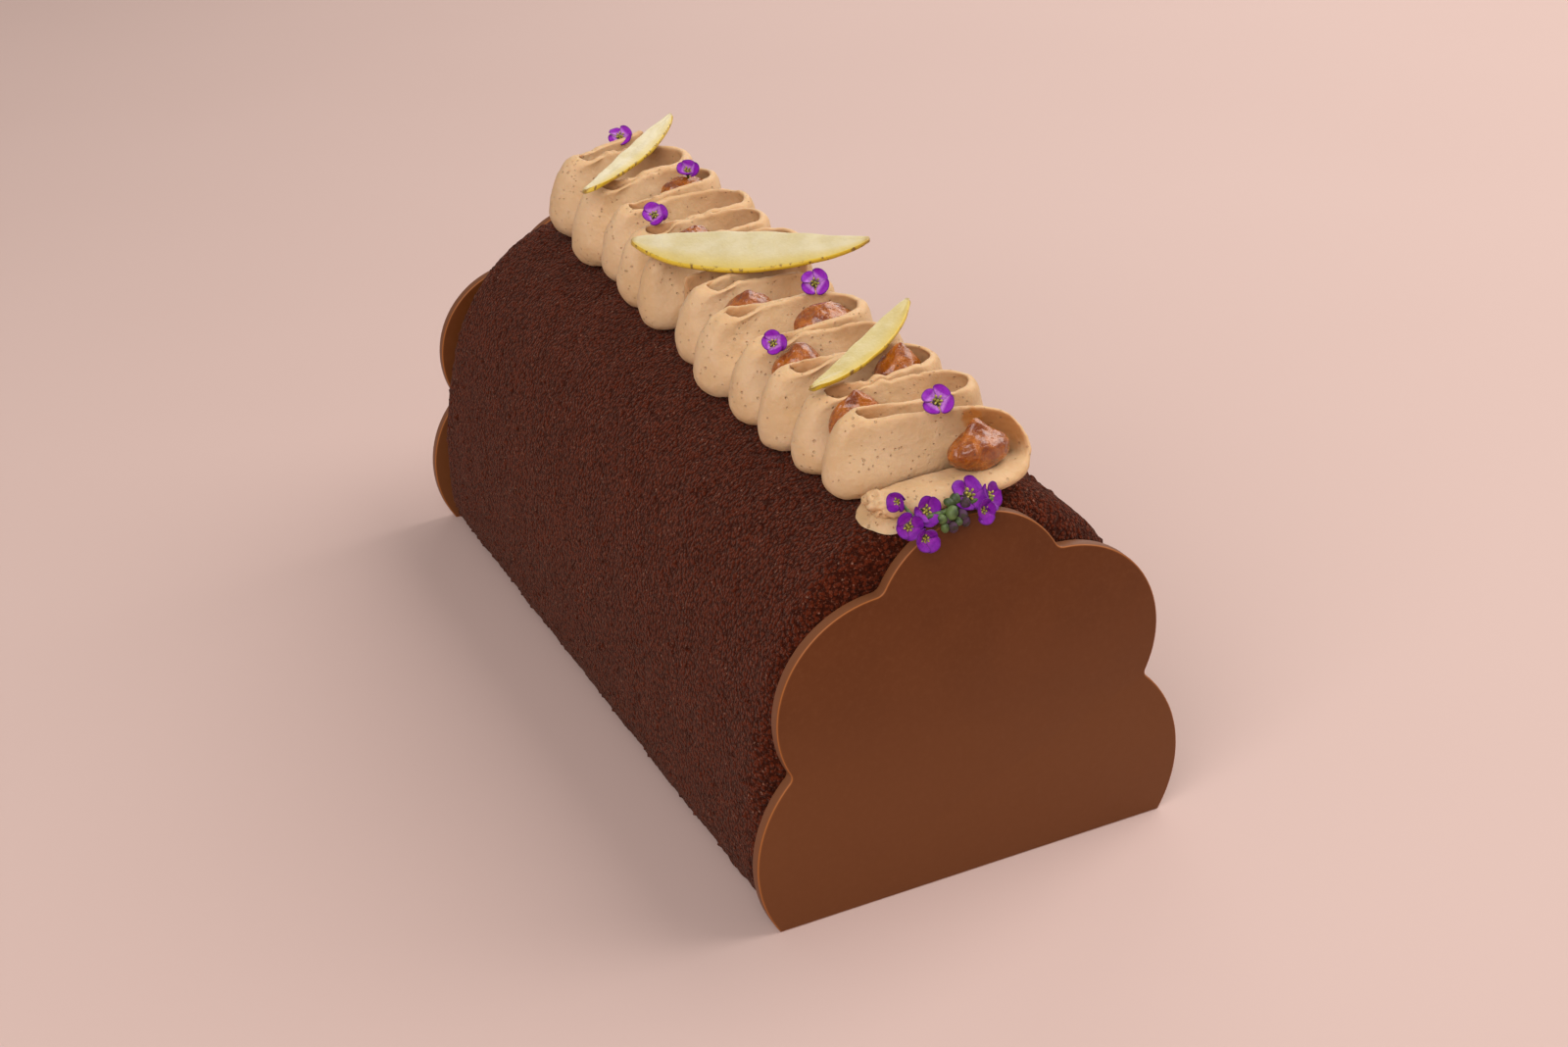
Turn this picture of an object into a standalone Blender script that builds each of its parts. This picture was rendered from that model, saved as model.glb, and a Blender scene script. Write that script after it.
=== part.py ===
"""A yule log: a sprayed log between two scalloped chocolate plaques, with a piped ruffle of cream along its
top, caramel dots in the folds, three slices of pear and small flowers.

X runs across the log, Y along it (the front plaque faces -Y) and Z is up. The origin is on the base, at the
middle of the footprint. Sizes below are in millimetres and are turned to metres when the meshes are made.
"""
import bpy
import bmesh
from math import atan2, cos, exp, hypot, pi, radians, sin, sqrt
from mathutils import Euler, Vector

MM = 0.001
GAP = 0.35                  # air between pieces that touch
SHARP_ANGLE = radians(50)   # edges sharper than this stay sharp in the shading
WELD = 0.01                 # points nearer than this become one

# the log
LOG_LENGTH = 200.0          # over both plaques
BODY_HALF_WIDTH = 43.0
BODY_HEIGHT = 76.5
BODY_WAIST = 8.1            # height at which the section is widest
BODY_POWER = 2.34           # of the superellipse above that height
BODY_BASE_HALF = 40.5       # half width at the base
BODY_FILLET = 7.0           # rounding of the two ends
BODY_FILLET_STEPS = 4
BODY_ARCH_STEPS = 30

# the scalloped plaques: lobes as (height of centre, distance from the middle, radius)
PLAQUE_THICKNESS = 2.6
PLAQUE_EDGE = 0.35
TOP_LOBE = (55.94, 0.0, 19.76)
UPPER_LOBE = (42.6, 18.0, 21.6)
LOWER_LOBE = (13.54, 19.34, 25.66)
LOBE_STEP = radians(12)
UPPER_VALLEY, LOWER_VALLEY = 2.2, 1.4   # radii of the hollows between the lobes
VALLEY_STEPS = 3

# the piped ruffle, fold by fold: (side, distance from the front face, furthest x of the rim, its height)
LEFT, RIGHT = -1, 1
BACK_RUN = [
    (LEFT, 178.0, -6.4, 94.9), (RIGHT, 168.0, 17.6, 95.0),
    (LEFT, 157.2, -8.6, 94.0), (RIGHT, 150.0, 17.4, 95.2),
    (LEFT, 142.4, -7.2, 93.2), (RIGHT, 134.6, 19.0, 93.8),
    (LEFT, 127.2, -9.4, 92.6), (RIGHT, 120.6, 16.4, 93.8),
    (LEFT, 113.4, -10.2, 92.4), (RIGHT, 106.4, 18.4, 93.0),
]
BACK_START = (13.5, 184.6, 95.2)
BACK_END = (-11.0, 102.4, 89.5)
FRONT_RUN = [
    (LEFT, 91.0, -10.6, 91.5), (RIGHT, 83.4, 15.0, 90.6),
    (LEFT, 75.9, -12.9, 91.1), (RIGHT, 67.6, 13.2, 91.6),
    (LEFT, 59.4, -12.6, 90.4), (RIGHT, 52.4, 12.4, 90.6),
    (LEFT, 45.8, -13.0, 90.1), (RIGHT, 39.4, 14.2, 90.2),
    (LEFT, 32.6, -12.2, 89.6), (RIGHT, 26.4, 15.0, 89.4),
    (LEFT, 20.2, -12.0, 90.3),
]
FRONT_START = (14.0, 94.4, 91.5)
# the last fold opens into a cup and the end of the ribbon lies flat: pairs of base and rim points
CUP = [
    ((3.0, 16.6, 76.9), (3.4, 13.6, 90.1)),
    ((9.0, 16.4, 76.6), (9.4, 12.8, 89.3)),
    ((13.0, 14.6, 76.8), (14.4, 10.8, 86.0)),
    ((13.4, 11.2, 77.0), (16.2, 7.8, 81.4)),
    ((10.0, 9.2, 77.4), (13.2, 4.2, 78.9)),
    ((4.0, 8.8, 77.9), (6.6, 2.2, 78.4)),
    ((-4.0, 8.8, 78.0), (-4.0, 2.0, 77.6)),
    ((-12.0, 9.4, 77.3), (-12.0, 3.2, 76.4)),
    ((-17.0, 11.4, 75.4), (-17.2, 6.4, 74.3)),
]
LEFT_BULGE = 5.2            # how far a fold swells below its rim
RIGHT_BULGE = 3.0
RIM_HALF = 0.7              # least half thickness above RIM_LEVEL
RIM_LEVEL = 0.5
BASE_SQUEEZE = 0.25         # air left at each side of a fold's base
SLIT = 1.0                  # half the slit at the top of a left fold
LOBE_AIR = 0.2              # half the air between the two walls of a left fold
TROUGH_AIR = 0.3            # air between a right fold and its neighbours
START_BASE = 0.9            # share of the thickness at the start of a ribbon
END_THINNING = 0.25         # share of the thickness lost towards the end of a ribbon
CUP_HALF = 1.9              # half thickness of the base where the ribbon lies flat
CUP_HALF_MORE = 1.1         # added where it leaves the last fold
CUP_EASE_STEPS = 7
CUP_RIM_HALF = 0.6
ARC_STEPS = 6
PASS_STEPS = 3
# a ribbon's section, from its base up one side, over the rim and down the other
SECTION_LEVELS = (0.07, 0.22, 0.42, 0.64, 0.84, 0.97)
THICKNESS = ((0.0, 0.78), (0.15, 1.0), (0.3, 0.9), (0.5, 0.58), (0.7, 0.34), (0.88, 0.23), (1.0, 0.2))
SWELL = ((0.0, 0.72), (0.12, 0.94), (0.3, 1.0), (0.5, 0.95), (0.7, 0.78), (0.88, 0.45), (1.0, 0.0))

# caramel dots: (x, distance from the front face, z, half length, half width, half height)
FRONT_DOTS = [
    (-3.8, 83.4, 86.0, 5.2, 4.4, 4.0), (5.6, 67.6, 87.2, 5.4, 4.8, 4.0),
    (-7.6, 52.6, 85.6, 4.8, 4.0, 4.4), (7.2, 39.4, 85.6, 4.4, 4.2, 4.2),
    (-8.4, 26.4, 85.2, 5.4, 4.0, 4.6),
]
BACK_DOTS = [(9.8, 150.0, 91.4, 5.2, 4.0, 3.4), (-0.6, 120.4, 90.2, 4.2, 3.2, 2.8)]
CUP_DOT = (6.3, 8.4, 83.3, 5.3, 3.3, 3.3)
DOT_PEAK = 1.8
DOT_PEAK_SPREAD = 0.2
DOT_TAPER = 0.18
DOT_AIR = 0.45              # air between a dot and the walls of its fold
DOT_LEAST = 0.3
DOT_SIDES, DOT_RINGS = 12, 7

# pear slices: two tips, width, thickness, lean towards the skin in degrees and sag
PEAR_SLICES = [
    ((22.2, 187.4, 98.0), (-15.0, 149.6, 95.8), 7.6, 1.4, 5, 0.1),
    ((-16.6, 116.6, 94.4), (24.0, 84.6, 96.4), 14.8, 1.5, 16, -0.2),
    ((16.0, 52.8, 95.2), (-16.0, 30.6, 91.9), 7.4, 1.4, 6, 0.6),
]
SLICE_STEPS = 16
SKIN_SHARE, SKIN_POWER = 0.76, 0.8
CUT_SHARE, CUT_POWER = 0.24, 0.7
SLICE_TIP = 0.3             # half width of a tip

# flowers: (x, distance from the front face, z, lean about X, lean about Y, turn) in millimetres and degrees
FLOWERS = [
    (7.4, 184.6, 96.5, 30, -8, 10), (9.6, 147.4, 96.6, 34, -16, 40),
    (-6.0, 129.6, 94.1, 40, -22, 75), (6.6, 75.3, 93.1, 44, -14, 20),
    (-12.6, 53.8, 91.8, 46, -26, 60), (0.6, 13.2, 91.9, 38, -10, 30),
]
FLOWER_RADIUS = 3.3
FLOWER_SIDES, FLOWER_RINGS = 16, 6
PETAL_THICKNESS = 0.42
PETAL_WAIST, PETAL_POWER = 0.66, 0.55
PETAL_RISE, PETAL_WAVE = 0.9, 0.25
DOME_HEIGHT, DOME_SPREAD = 0.7, 0.2
CALYX_HEIGHT, CALYX_SPREAD = 1.1, 0.22
SPRIG_FLOWERS = [
    (-12.0, 3.4, 79.6, 60, -50, 0), (-7.2, 0.8, 79.4, 52, -16, 25), (1.2, 1.4, 80.0, 40, 6, 50),
    (4.6, 0.6, 79.3, 58, 30, 15), (-12.0, -0.6, 77.4, 66, -34, 70), (-10.2, -2.4, 75.2, 84, -20, 35),
]
SPRIG_STEM = [(-11.0, -0.3, 78.0), (-6.0, -0.1, 78.3), (0.0, 0.2, 78.6), (4.6, 0.2, 78.3)]
SPRIG_BUDS = [
    (-3.0, 0.6, 79.4, 1.3), (-1.4, -0.6, 79.0, 1.2), (-4.6, -1.2, 78.4, 1.4), (-2.4, -1.4, 77.8, 1.1),
]
STEM_RADIUS = 0.75
STALK_RADIUS = 0.5
BUD_SIDES, BUD_RINGS = 8, 5


def along(distance):
    """The y of a place measured from the front face."""
    return distance - LOG_LENGTH / 2


def ramp(stops, value):
    """Straight-line reading of a list of (place, value) stops."""
    for (a, p), (b, q) in zip(stops, stops[1:]):
        if value <= b:
            return p + (q - p) * (value - a) / (b - a)
    return stops[-1][1]


def material(name, colour, roughness):
    mat = bpy.data.materials.new(name)
    mat.use_nodes = True
    shader = mat.node_tree.nodes["Principled BSDF"]
    shader.inputs["Base Color"].default_value = (*colour, 1.0)
    shader.inputs["Roughness"].default_value = roughness
    shader.inputs["Metallic"].default_value = 0.0
    return mat


def place(obj, mat, collection):
    """Give an object its material and put it in the model's collection."""
    obj.data.materials.clear()
    obj.data.materials.append(mat)
    for old in list(obj.users_collection):
        old.objects.unlink(obj)
    collection.objects.link(obj)
    return obj


def mesh_object(name, bm, mat, collection):
    """A smooth-shaded mesh object from a bmesh given in millimetres."""
    bmesh.ops.scale(bm, vec=(MM, MM, MM), verts=bm.verts)
    mesh = bpy.data.meshes.new(name)
    bm.to_mesh(mesh)
    bm.free()
    mesh.shade_smooth()
    mesh.set_sharp_from_angle(angle=SHARP_ANGLE)
    return place(bpy.data.objects.new(name, mesh), mat, collection)


def shape_of(guide):
    """A guide object's shape as a bmesh in millimetres; the guide is removed."""
    bpy.context.view_layer.update()
    depsgraph = bpy.context.evaluated_depsgraph_get()
    mesh = bpy.data.meshes.new_from_object(guide.evaluated_get(depsgraph))
    mesh.transform(guide.matrix_world)
    bpy.data.objects.remove(guide)
    bm = bmesh.new()
    bm.from_mesh(mesh)
    bpy.data.meshes.remove(mesh)
    bmesh.ops.scale(bm, vec=(1 / MM, 1 / MM, 1 / MM), verts=bm.verts)
    bmesh.ops.remove_doubles(bm, verts=bm.verts, dist=WELD)
    return bm


def body_surface(x, distance):
    """Height of the log's top at x, with the rounding of its ends."""
    arch = BODY_HEIGHT - BODY_WAIST
    side = min(abs(x) / BODY_HALF_WIDTH, 1.0)
    height = BODY_WAIST + arch * (1 - side ** BODY_POWER) ** (1 / BODY_POWER)
    inside = min(distance, LOG_LENGTH - distance) - PLAQUE_THICKNESS - GAP
    if inside < BODY_FILLET:
        reach = BODY_FILLET - max(inside, 0.0)
        height -= BODY_FILLET - sqrt(BODY_FILLET ** 2 - reach ** 2)
    return height


def mirrored(right):
    """An outline from its right half, which ends on the middle line."""
    return right + [(-x, z) for x, z in reversed(right[:-1])]


def body_outline():
    """The log's section, carried on below the base, where it is cut off flat."""
    arch = BODY_HEIGHT - BODY_WAIST
    right = [(BODY_BASE_HALF, -BODY_FILLET), (BODY_BASE_HALF, 0.0)]
    for i in range(BODY_ARCH_STEPS // 2 + 1):
        t = (pi / 2) * i / (BODY_ARCH_STEPS // 2)
        right.append((BODY_HALF_WIDTH * cos(t) ** (2 / BODY_POWER),
                      BODY_WAIST + arch * sin(t) ** (2 / BODY_POWER)))
    return mirrored(right)


def lobe_arc(lobe, start, stop):
    """Points of one right-hand scallop between two angles."""
    height, middle, radius = lobe
    steps = max(2, round(abs(stop - start) / LOBE_STEP))
    angles = [start + (stop - start) * i / steps for i in range(steps + 1)]
    return [(middle + radius * cos(a), height + radius * sin(a)) for a in angles]


def crossing(a, b):
    """The outer crossing of two right-hand scallops."""
    (za, xa, ra), (zb, xb, rb) = a, b
    dx, dz = xb - xa, zb - za
    far = hypot(dx, dz)
    reach = (ra * ra - rb * rb + far * far) / (2 * far)
    rise = sqrt(ra * ra - reach * reach)
    x, z = xa + reach * dx / far, za + reach * dz / far
    pair = [(x + rise * dz / far, z - rise * dx / far), (x - rise * dz / far, z + rise * dx / far)]
    return max(pair, key=lambda p: p[0])


def valley(lower, upper, radius):
    """The small hollow between two right-hand scallops, from the lower one to the upper one."""
    (za, xa, ra), (zb, xb, rb) = lower, upper
    x, z = crossing((za, xa, ra + radius), (zb, xb, rb + radius))
    start, stop = (atan2(height - z, middle - x) % (2 * pi) for height, middle, _ in (lower, upper))
    angles = [start + (stop - start) * i / VALLEY_STEPS for i in range(VALLEY_STEPS + 1)]
    return [(x + radius * cos(a), z + radius * sin(a)) for a in angles]


def angle_on(lobe, point):
    return atan2(point[1] - lobe[0], point[0] - lobe[1])


def plaque_outline():
    """Five scallops over a flat bottom."""
    lower = valley(LOWER_LOBE, UPPER_LOBE, LOWER_VALLEY)
    upper = valley(UPPER_LOBE, TOP_LOBE, UPPER_VALLEY)
    corner = (LOWER_LOBE[1] + sqrt(LOWER_LOBE[2] ** 2 - LOWER_LOBE[0] ** 2), 0.0)
    right = lobe_arc(LOWER_LOBE, angle_on(LOWER_LOBE, corner), angle_on(LOWER_LOBE, lower[0]))
    right += lower[1:-1]
    right += lobe_arc(UPPER_LOBE, angle_on(UPPER_LOBE, lower[-1]), angle_on(UPPER_LOBE, upper[0]))
    right += upper[1:-1]
    right += lobe_arc(TOP_LOBE, angle_on(TOP_LOBE, upper[-1]), pi / 2)
    return mirrored(right)


def upright_slab(name, outline, thickness, edge, edge_steps, middle, mat, collection):
    """A flat outline with rounded edges, stood up to face along Y."""
    curve = bpy.data.curves.new(name, "CURVE")
    curve.dimensions = "2D"
    curve.fill_mode = "BOTH"
    curve.extrude = (thickness / 2 - edge) * MM
    curve.bevel_depth = edge * MM
    curve.bevel_resolution = edge_steps
    curve.offset = -edge * MM
    spline = curve.splines.new("POLY")
    spline.points.add(len(outline) - 1)
    for point, (x, z) in zip(spline.points, outline):
        point.co = (x * MM, z * MM, 0.0, 1.0)
    spline.use_cyclic_u = True
    obj = bpy.data.objects.new(name, curve)
    obj.rotation_euler = (pi / 2, 0.0, 0.0)
    obj.location = (0.0, middle * MM, 0.0)
    return place(obj, mat, collection)


def log_body(mat, collection):
    """The arch-shaped log, rounded at its ends and flat underneath."""
    length = LOG_LENGTH - 2 * PLAQUE_THICKNESS - 2 * GAP
    bm = shape_of(upright_slab("body_guide", body_outline(), length, BODY_FILLET, BODY_FILLET_STEPS, 0.0,
                               mat, collection))
    geometry = bm.verts[:] + bm.edges[:] + bm.faces[:]
    cut = bmesh.ops.bisect_plane(bm, geom=geometry, plane_co=(0, 0, 0), plane_no=(0, 0, 1), clear_inner=True)
    rim = [item for item in cut["geom_cut"] if isinstance(item, bmesh.types.BMEdge)]
    bmesh.ops.contextual_create(bm, geom=rim)
    bmesh.ops.recalc_face_normals(bm, faces=bm.faces)
    return mesh_object("log_body", bm, mat, collection)


def half_thickness(base, level, least):
    """Half the thickness of a ribbon at one level of its height."""
    return max(base * ramp(THICKNESS, level), least if level > RIM_LEVEL else 0.0)


def spacing(folds, i):
    """Distance along the log from the fold before to the fold after."""
    y = folds[i][1]
    before = folds[i - 1][1] if i else 2 * y - folds[i + 1][1]
    after = folds[i + 1][1] if i + 1 < len(folds) else 2 * y - folds[i - 1][1]
    return before - after


def fold_levels(folds, start, end, level):
    """Points of a ribbon's middle surface at one level, from the first pass to the last.

    Each is (x, distance from the front face, height of the rim, half thickness of the base).
    """
    points = []
    marks = []
    for i, (side, y, reach, top) in enumerate(folds):
        base = spacing(folds, i) / 4 - BASE_SQUEEZE
        half = half_thickness(base, level, RIM_HALF)
        if side == LEFT:
            radius = half + LOBE_AIR + SLIT * level ** 3
            bulge = LEFT_BULGE
        else:
            radius = spacing(folds, i) / 2 - half - TROUGH_AIR
            bulge = RIGHT_BULGE
        outer = reach + side * bulge * ramp(SWELL, level)
        marks.append((side, y, outer - side * (radius + half * 0.4), radius, top, base))
    side, y, middle, radius, top, base = marks[0]
    for i in range(PASS_STEPS + 1):
        t = i / (PASS_STEPS + 1)
        points.append((start[0] + (middle - start[0]) * t, start[1] + (y + radius - start[1]) * t,
                       start[2] + (top - start[2]) * t, base * START_BASE))
    for i, (side, y, middle, radius, top, base) in enumerate(marks):
        for j in range(ARC_STEPS + 1):
            turn = pi / 2 - pi * j / ARC_STEPS
            points.append((middle + side * radius * cos(turn), y + radius * sin(turn), top, base))
        if i + 1 < len(marks):
            other = marks[i + 1]
            for j in range(1, PASS_STEPS + 1):
                t = j / (PASS_STEPS + 1)
                ease = t * t * (3 - 2 * t)
                points.append((middle + (other[2] - middle) * t,
                               y - radius + (other[1] + other[3] - y + radius) * ease,
                               top + (other[4] - top) * ease, base + (other[5] - base) * t))
    if end:
        for j in range(1, PASS_STEPS + 3):
            t = j / (PASS_STEPS + 2)
            points.append((middle + (end[0] - middle) * t, y - radius + (end[1] - y + radius) * t,
                           top + (end[2] - top) * t, base * (1 - END_THINNING * t)))
    return points


def spline_through(points, steps):
    """A smooth curve through vectors, leaving out the first point."""
    result = []
    for i in range(len(points) - 1):
        p0 = points[max(i - 1, 0)]
        p1, p2 = points[i], points[i + 1]
        p3 = points[min(i + 2, len(points) - 1)]
        for j in range(1, steps + 1):
            t = j / steps
            result.append(0.5 * (2 * p1 + (p2 - p0) * t + (2 * p0 - 5 * p1 + 4 * p2 - p3) * t * t
                                 + (3 * p1 - p0 - 3 * p2 + p3) * t ** 3))
    return result


def ribbon_rows(folds, start, end, cup, levels):
    """Middle points and half thicknesses of a ribbon, one row for each level."""
    grid = []
    thick = []
    for level in levels:
        middle = []
        half = []
        for x, y, top, base in fold_levels(folds, start, end, level):
            low = body_surface(x, y) + GAP
            middle.append(Vector((x, y, low + (top - low) * level)))
            half.append(half_thickness(base, level, RIM_HALF))
        if cup:
            knots = [Vector(b).lerp(Vector(t), level) for b, t in cup]
            turned = spline_through([middle[-1]] + knots, PASS_STEPS)
            middle += turned
            for i in range(len(turned)):
                base = CUP_HALF + CUP_HALF_MORE * max(1.0 - i / CUP_EASE_STEPS, 0.0)
                half.append(max(base * ramp(THICKNESS, level), CUP_RIM_HALF))
        grid.append(middle)
        thick.append(half)
    return grid, thick


def cream_run(name, folds, start, end, cup, mat, collection):
    """One ribbon of cream, fat at its base and thin at its rim, folded to and fro across the log."""
    levels = (0.0,) + SECTION_LEVELS + (1.0,)
    grid, thick = ribbon_rows(folds, start, end, cup, levels)
    steps = len(grid[0])
    upright = steps - len(cup) * PASS_STEPS
    up, down = range(1, len(levels) - 1), range(len(levels) - 2, 0, -1)
    loop = [(0, 0)] + [(k, 1) for k in up] + [(len(levels) - 1, 0)] + [(k, -1) for k in down]
    bm = bmesh.new()
    rings = []
    for i in range(steps):
        rise = grid[-1][i] - grid[0][i]
        ring = []
        for k, side in loop:
            flow = grid[k][min(i + 1, steps - 1)] - grid[k][max(i - 1, 0)]
            normal = Vector((flow.y, -flow.x, 0.0)) if i < upright else flow.cross(rise)
            point = grid[k][i] + side * thick[k][i] * normal.normalized()
            floor = body_surface(point.x, point.y) + GAP
            ring.append(bm.verts.new((point.x, along(point.y), max(point.z, floor))))
        rings.append(ring)
    for a, b in zip(rings, rings[1:]):
        for k in range(len(loop)):
            n = (k + 1) % len(loop)
            bm.faces.new((a[k], a[n], b[n], b[k]))
    bm.faces.new(rings[0][::-1])
    bm.faces.new(rings[-1])
    bmesh.ops.recalc_face_normals(bm, faces=bm.faces)
    return mesh_object(name, bm, mat, collection)


def trough_half_width(folds, distance, z):
    """Half the free width at height z inside the right-hand fold nearest to a distance."""
    inner = range(1, len(folds) - 1)
    i = min((k for k in inner if folds[k][0] == RIGHT), key=lambda k: abs(folds[k][1] - distance))
    low = body_surface(0.0, folds[i][1]) + GAP
    level = min(max((z - low) / (folds[i][3] - low), 0.0), 1.0)
    half = half_thickness(spacing(folds, i) / 4 - BASE_SQUEEZE, level, RIM_HALF)
    return spacing(folds, i) / 2 - 2 * half - SLIT * level ** 3 - TROUGH_AIR


def caramel_dot(name, dot, folds, mat, collection):
    """A piped dot with a peak, squeezed between the walls of its fold where it lies in one."""
    x, y, z, long, wide, high = dot
    bm = bmesh.new()
    bmesh.ops.create_uvsphere(bm, u_segments=DOT_SIDES, v_segments=DOT_RINGS, radius=1.0)
    for vert in bm.verts:
        px, py, pz = vert.co
        top = max(pz, 0.0)
        height = z + pz * high + DOT_PEAK * exp(-((px * px + py * py) / DOT_PEAK_SPREAD)) * top
        room = max(trough_half_width(folds, y, height) - DOT_AIR, DOT_LEAST) if folds else wide
        taper = 1.0 - DOT_TAPER * top
        vert.co = (x + px * long * taper, along(y) + py * min(wide, room) * taper, height)
    return mesh_object(name, bm, mat, collection)


def pear_slice(name, tips, width, thickness, lean, sag, mat, collection):
    """A thin crescent of pear: a nearly straight cut edge, a bowed skin edge and two fine tips."""
    start, stop = (Vector((t[0], along(t[1]), t[2])) for t in tips)
    run = stop - start
    across = Vector((run.y, -run.x, 0.0)).normalized()
    if across.y > 0:
        across = -across
    across = across * cos(radians(lean)) - Vector((0.0, 0.0, sin(radians(lean))))
    bm = bmesh.new()
    bmesh.ops.create_grid(bm, x_segments=SLICE_STEPS, y_segments=3, size=1.0)
    for vert in bm.verts:
        u, v = vert.co.x, vert.co.y
        bow = max(1 - u * u, 0.0)
        skin = SKIN_SHARE * width * bow ** SKIN_POWER + SLICE_TIP
        cut = -CUT_SHARE * width * bow ** CUT_POWER - SLICE_TIP
        offset = cut + (skin - cut) * (v + 1) / 2
        vert.co = start + run * (u + 1) / 2 + across * offset - Vector((0.0, 0.0, sag * bow))
    bmesh.ops.recalc_face_normals(bm, faces=bm.faces)
    obj = mesh_object(name, bm, mat, collection)
    solid = obj.modifiers.new("Thickness", "SOLIDIFY")
    solid.thickness = thickness * MM
    solid.offset = 0.0
    return obj


def flower(name, spot, mat, collection):
    """Four rounded petals round a small dome, on a short calyx, as one closed sheet."""
    bm = bmesh.new()
    bmesh.ops.create_uvsphere(bm, u_segments=FLOWER_SIDES, v_segments=FLOWER_RINGS, radius=1.0)
    for vert in bm.verts:
        px, py, pz = vert.co
        turn = atan2(py, px)
        edge = 1 - abs(atan2(abs(pz), hypot(px, py))) / (pi / 2)
        petal = PETAL_WAIST + (1 - PETAL_WAIST) * abs(cos(2 * turn)) ** PETAL_POWER
        reach = FLOWER_RADIUS * petal * edge
        sheet = PETAL_RISE * edge ** 2 + PETAL_WAVE * sin(4 * turn) * edge
        high, spread = (DOME_HEIGHT, DOME_SPREAD) if pz > 0 else (CALYX_HEIGHT, CALYX_SPREAD)
        skin = PETAL_THICKNESS / 2 * min(1.0, 4 * (1 - edge)) + high * exp(-(edge / spread) ** 2)
        lift = 0.0 if edge > 1 - WELD else skin if pz > 0 else -skin
        vert.co = (reach * cos(turn), reach * sin(turn), sheet + lift)
    x, y, z, lean_x, lean_y, spin = spot
    lean = Euler((radians(lean_x), radians(lean_y), 0)).to_matrix()
    bmesh.ops.rotate(bm, matrix=lean @ Euler((0, 0, radians(spin))).to_matrix(), verts=bm.verts)
    bmesh.ops.translate(bm, vec=(x, along(y), z), verts=bm.verts)
    return mesh_object(name, bm, mat, collection)


def round_stem(name, route, radius, mat, collection):
    """A short round stem with closed ends."""
    curve = bpy.data.curves.new("stem_guide", "CURVE")
    curve.dimensions = "3D"
    curve.bevel_depth = radius * MM
    curve.bevel_resolution = 1
    curve.use_fill_caps = True
    spline = curve.splines.new("POLY")
    spline.points.add(len(route) - 1)
    for point, (x, y, z) in zip(spline.points, route):
        point.co = (x * MM, along(y) * MM, z * MM, 1.0)
    bm = shape_of(place(bpy.data.objects.new("stem_guide", curve), mat, collection))
    bmesh.ops.recalc_face_normals(bm, faces=bm.faces)
    return mesh_object(name, bm, mat, collection)


def flower_sprig(mat, collection):
    """A head of flowers and buds on one stem, joined into one solid."""
    parts = bpy.data.collections.new("sprig_parts")
    bpy.context.scene.collection.children.link(parts)
    for i, spot in enumerate(SPRIG_FLOWERS):
        flower(f"sprig_flower_{i}", spot, mat, parts)
        nearest = min(SPRIG_STEM, key=lambda p: hypot(p[0] - spot[0], p[1] - spot[1]))
        round_stem(f"sprig_stalk_{i}", [nearest, spot[:3]], STALK_RADIUS, mat, parts)
    for i, (x, y, z, radius) in enumerate(SPRIG_BUDS):
        bm = bmesh.new()
        bmesh.ops.create_uvsphere(bm, u_segments=BUD_SIDES, v_segments=BUD_RINGS, radius=radius)
        bmesh.ops.translate(bm, vec=(x, along(y), z), verts=bm.verts)
        mesh_object(f"sprig_bud_{i}", bm, mat, parts)
    stem = round_stem("flower_sprig", SPRIG_STEM, STEM_RADIUS, mat, collection)
    union = stem.modifiers.new("Join", "BOOLEAN")
    union.operation = "UNION"
    union.operand_type = "COLLECTION"
    union.collection = parts
    union.solver = "MANIFOLD"
    bpy.context.view_layer.update()
    depsgraph = bpy.context.evaluated_depsgraph_get()
    joined = bpy.data.meshes.new_from_object(stem.evaluated_get(depsgraph))
    stem.modifiers.clear()
    stem.data = joined
    for piece in list(parts.objects):
        bpy.data.objects.remove(piece)
    bpy.data.collections.remove(parts)
    stem.data.materials.clear()
    stem.data.materials.append(mat)
    return stem


def main():
    for obj in list(bpy.data.objects):
        bpy.data.objects.remove(obj)
    model = bpy.data.collections.new("yule_log")
    bpy.context.scene.collection.children.link(model)

    velvet = material("chocolate_velvet", (0.075, 0.022, 0.013), 0.9)
    chocolate = material("milk_chocolate", (0.14, 0.042, 0.015), 0.42)
    cream = material("whipped_ganache", (0.72, 0.47, 0.27), 0.55)
    caramel = material("caramel_compote", (0.30, 0.085, 0.02), 0.2)
    pear = material("pear", (0.78, 0.68, 0.34), 0.35)
    petal = material("purple_petal", (0.26, 0.02, 0.42), 0.5)

    log_body(velvet, model)
    inset = (LOG_LENGTH - PLAQUE_THICKNESS) / 2
    for name, middle in (("end_plaque_front", -inset), ("end_plaque_back", inset)):
        upright_slab(name, plaque_outline(), PLAQUE_THICKNESS, PLAQUE_EDGE, 1, middle, chocolate, model)
    cream_run("cream_run_back", BACK_RUN, BACK_START, BACK_END, [], cream, model)
    cream_run("cream_run_front", FRONT_RUN, FRONT_START, None, CUP, cream, model)

    dots = [(d, FRONT_RUN) for d in FRONT_DOTS] + [(d, BACK_RUN) for d in BACK_DOTS] + [(CUP_DOT, None)]
    for i, (dot, folds) in enumerate(dots):
        caramel_dot(f"caramel_dot_{i + 1}", dot, folds, caramel, model)
    for i, (start, stop, width, thickness, lean, sag) in enumerate(PEAR_SLICES):
        pear_slice(f"pear_slice_{i + 1}", (start, stop), width, thickness, lean, sag, pear, model)
    for i, spot in enumerate(FLOWERS):
        flower(f"flower_{i + 1}", spot, petal, model)
    flower_sprig(petal, model)


main()
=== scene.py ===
"""The looks of a yule log: a log sprayed with chocolate velvet between two scalloped plaques, with
piped cream, caramel dots, slices of pear and small flowers.

Pieces are shaped in millimetres and turned to metres when they are finished. X runs across the log, Y
along it with the front plaque towards -Y, and Z is up.
"""

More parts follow.
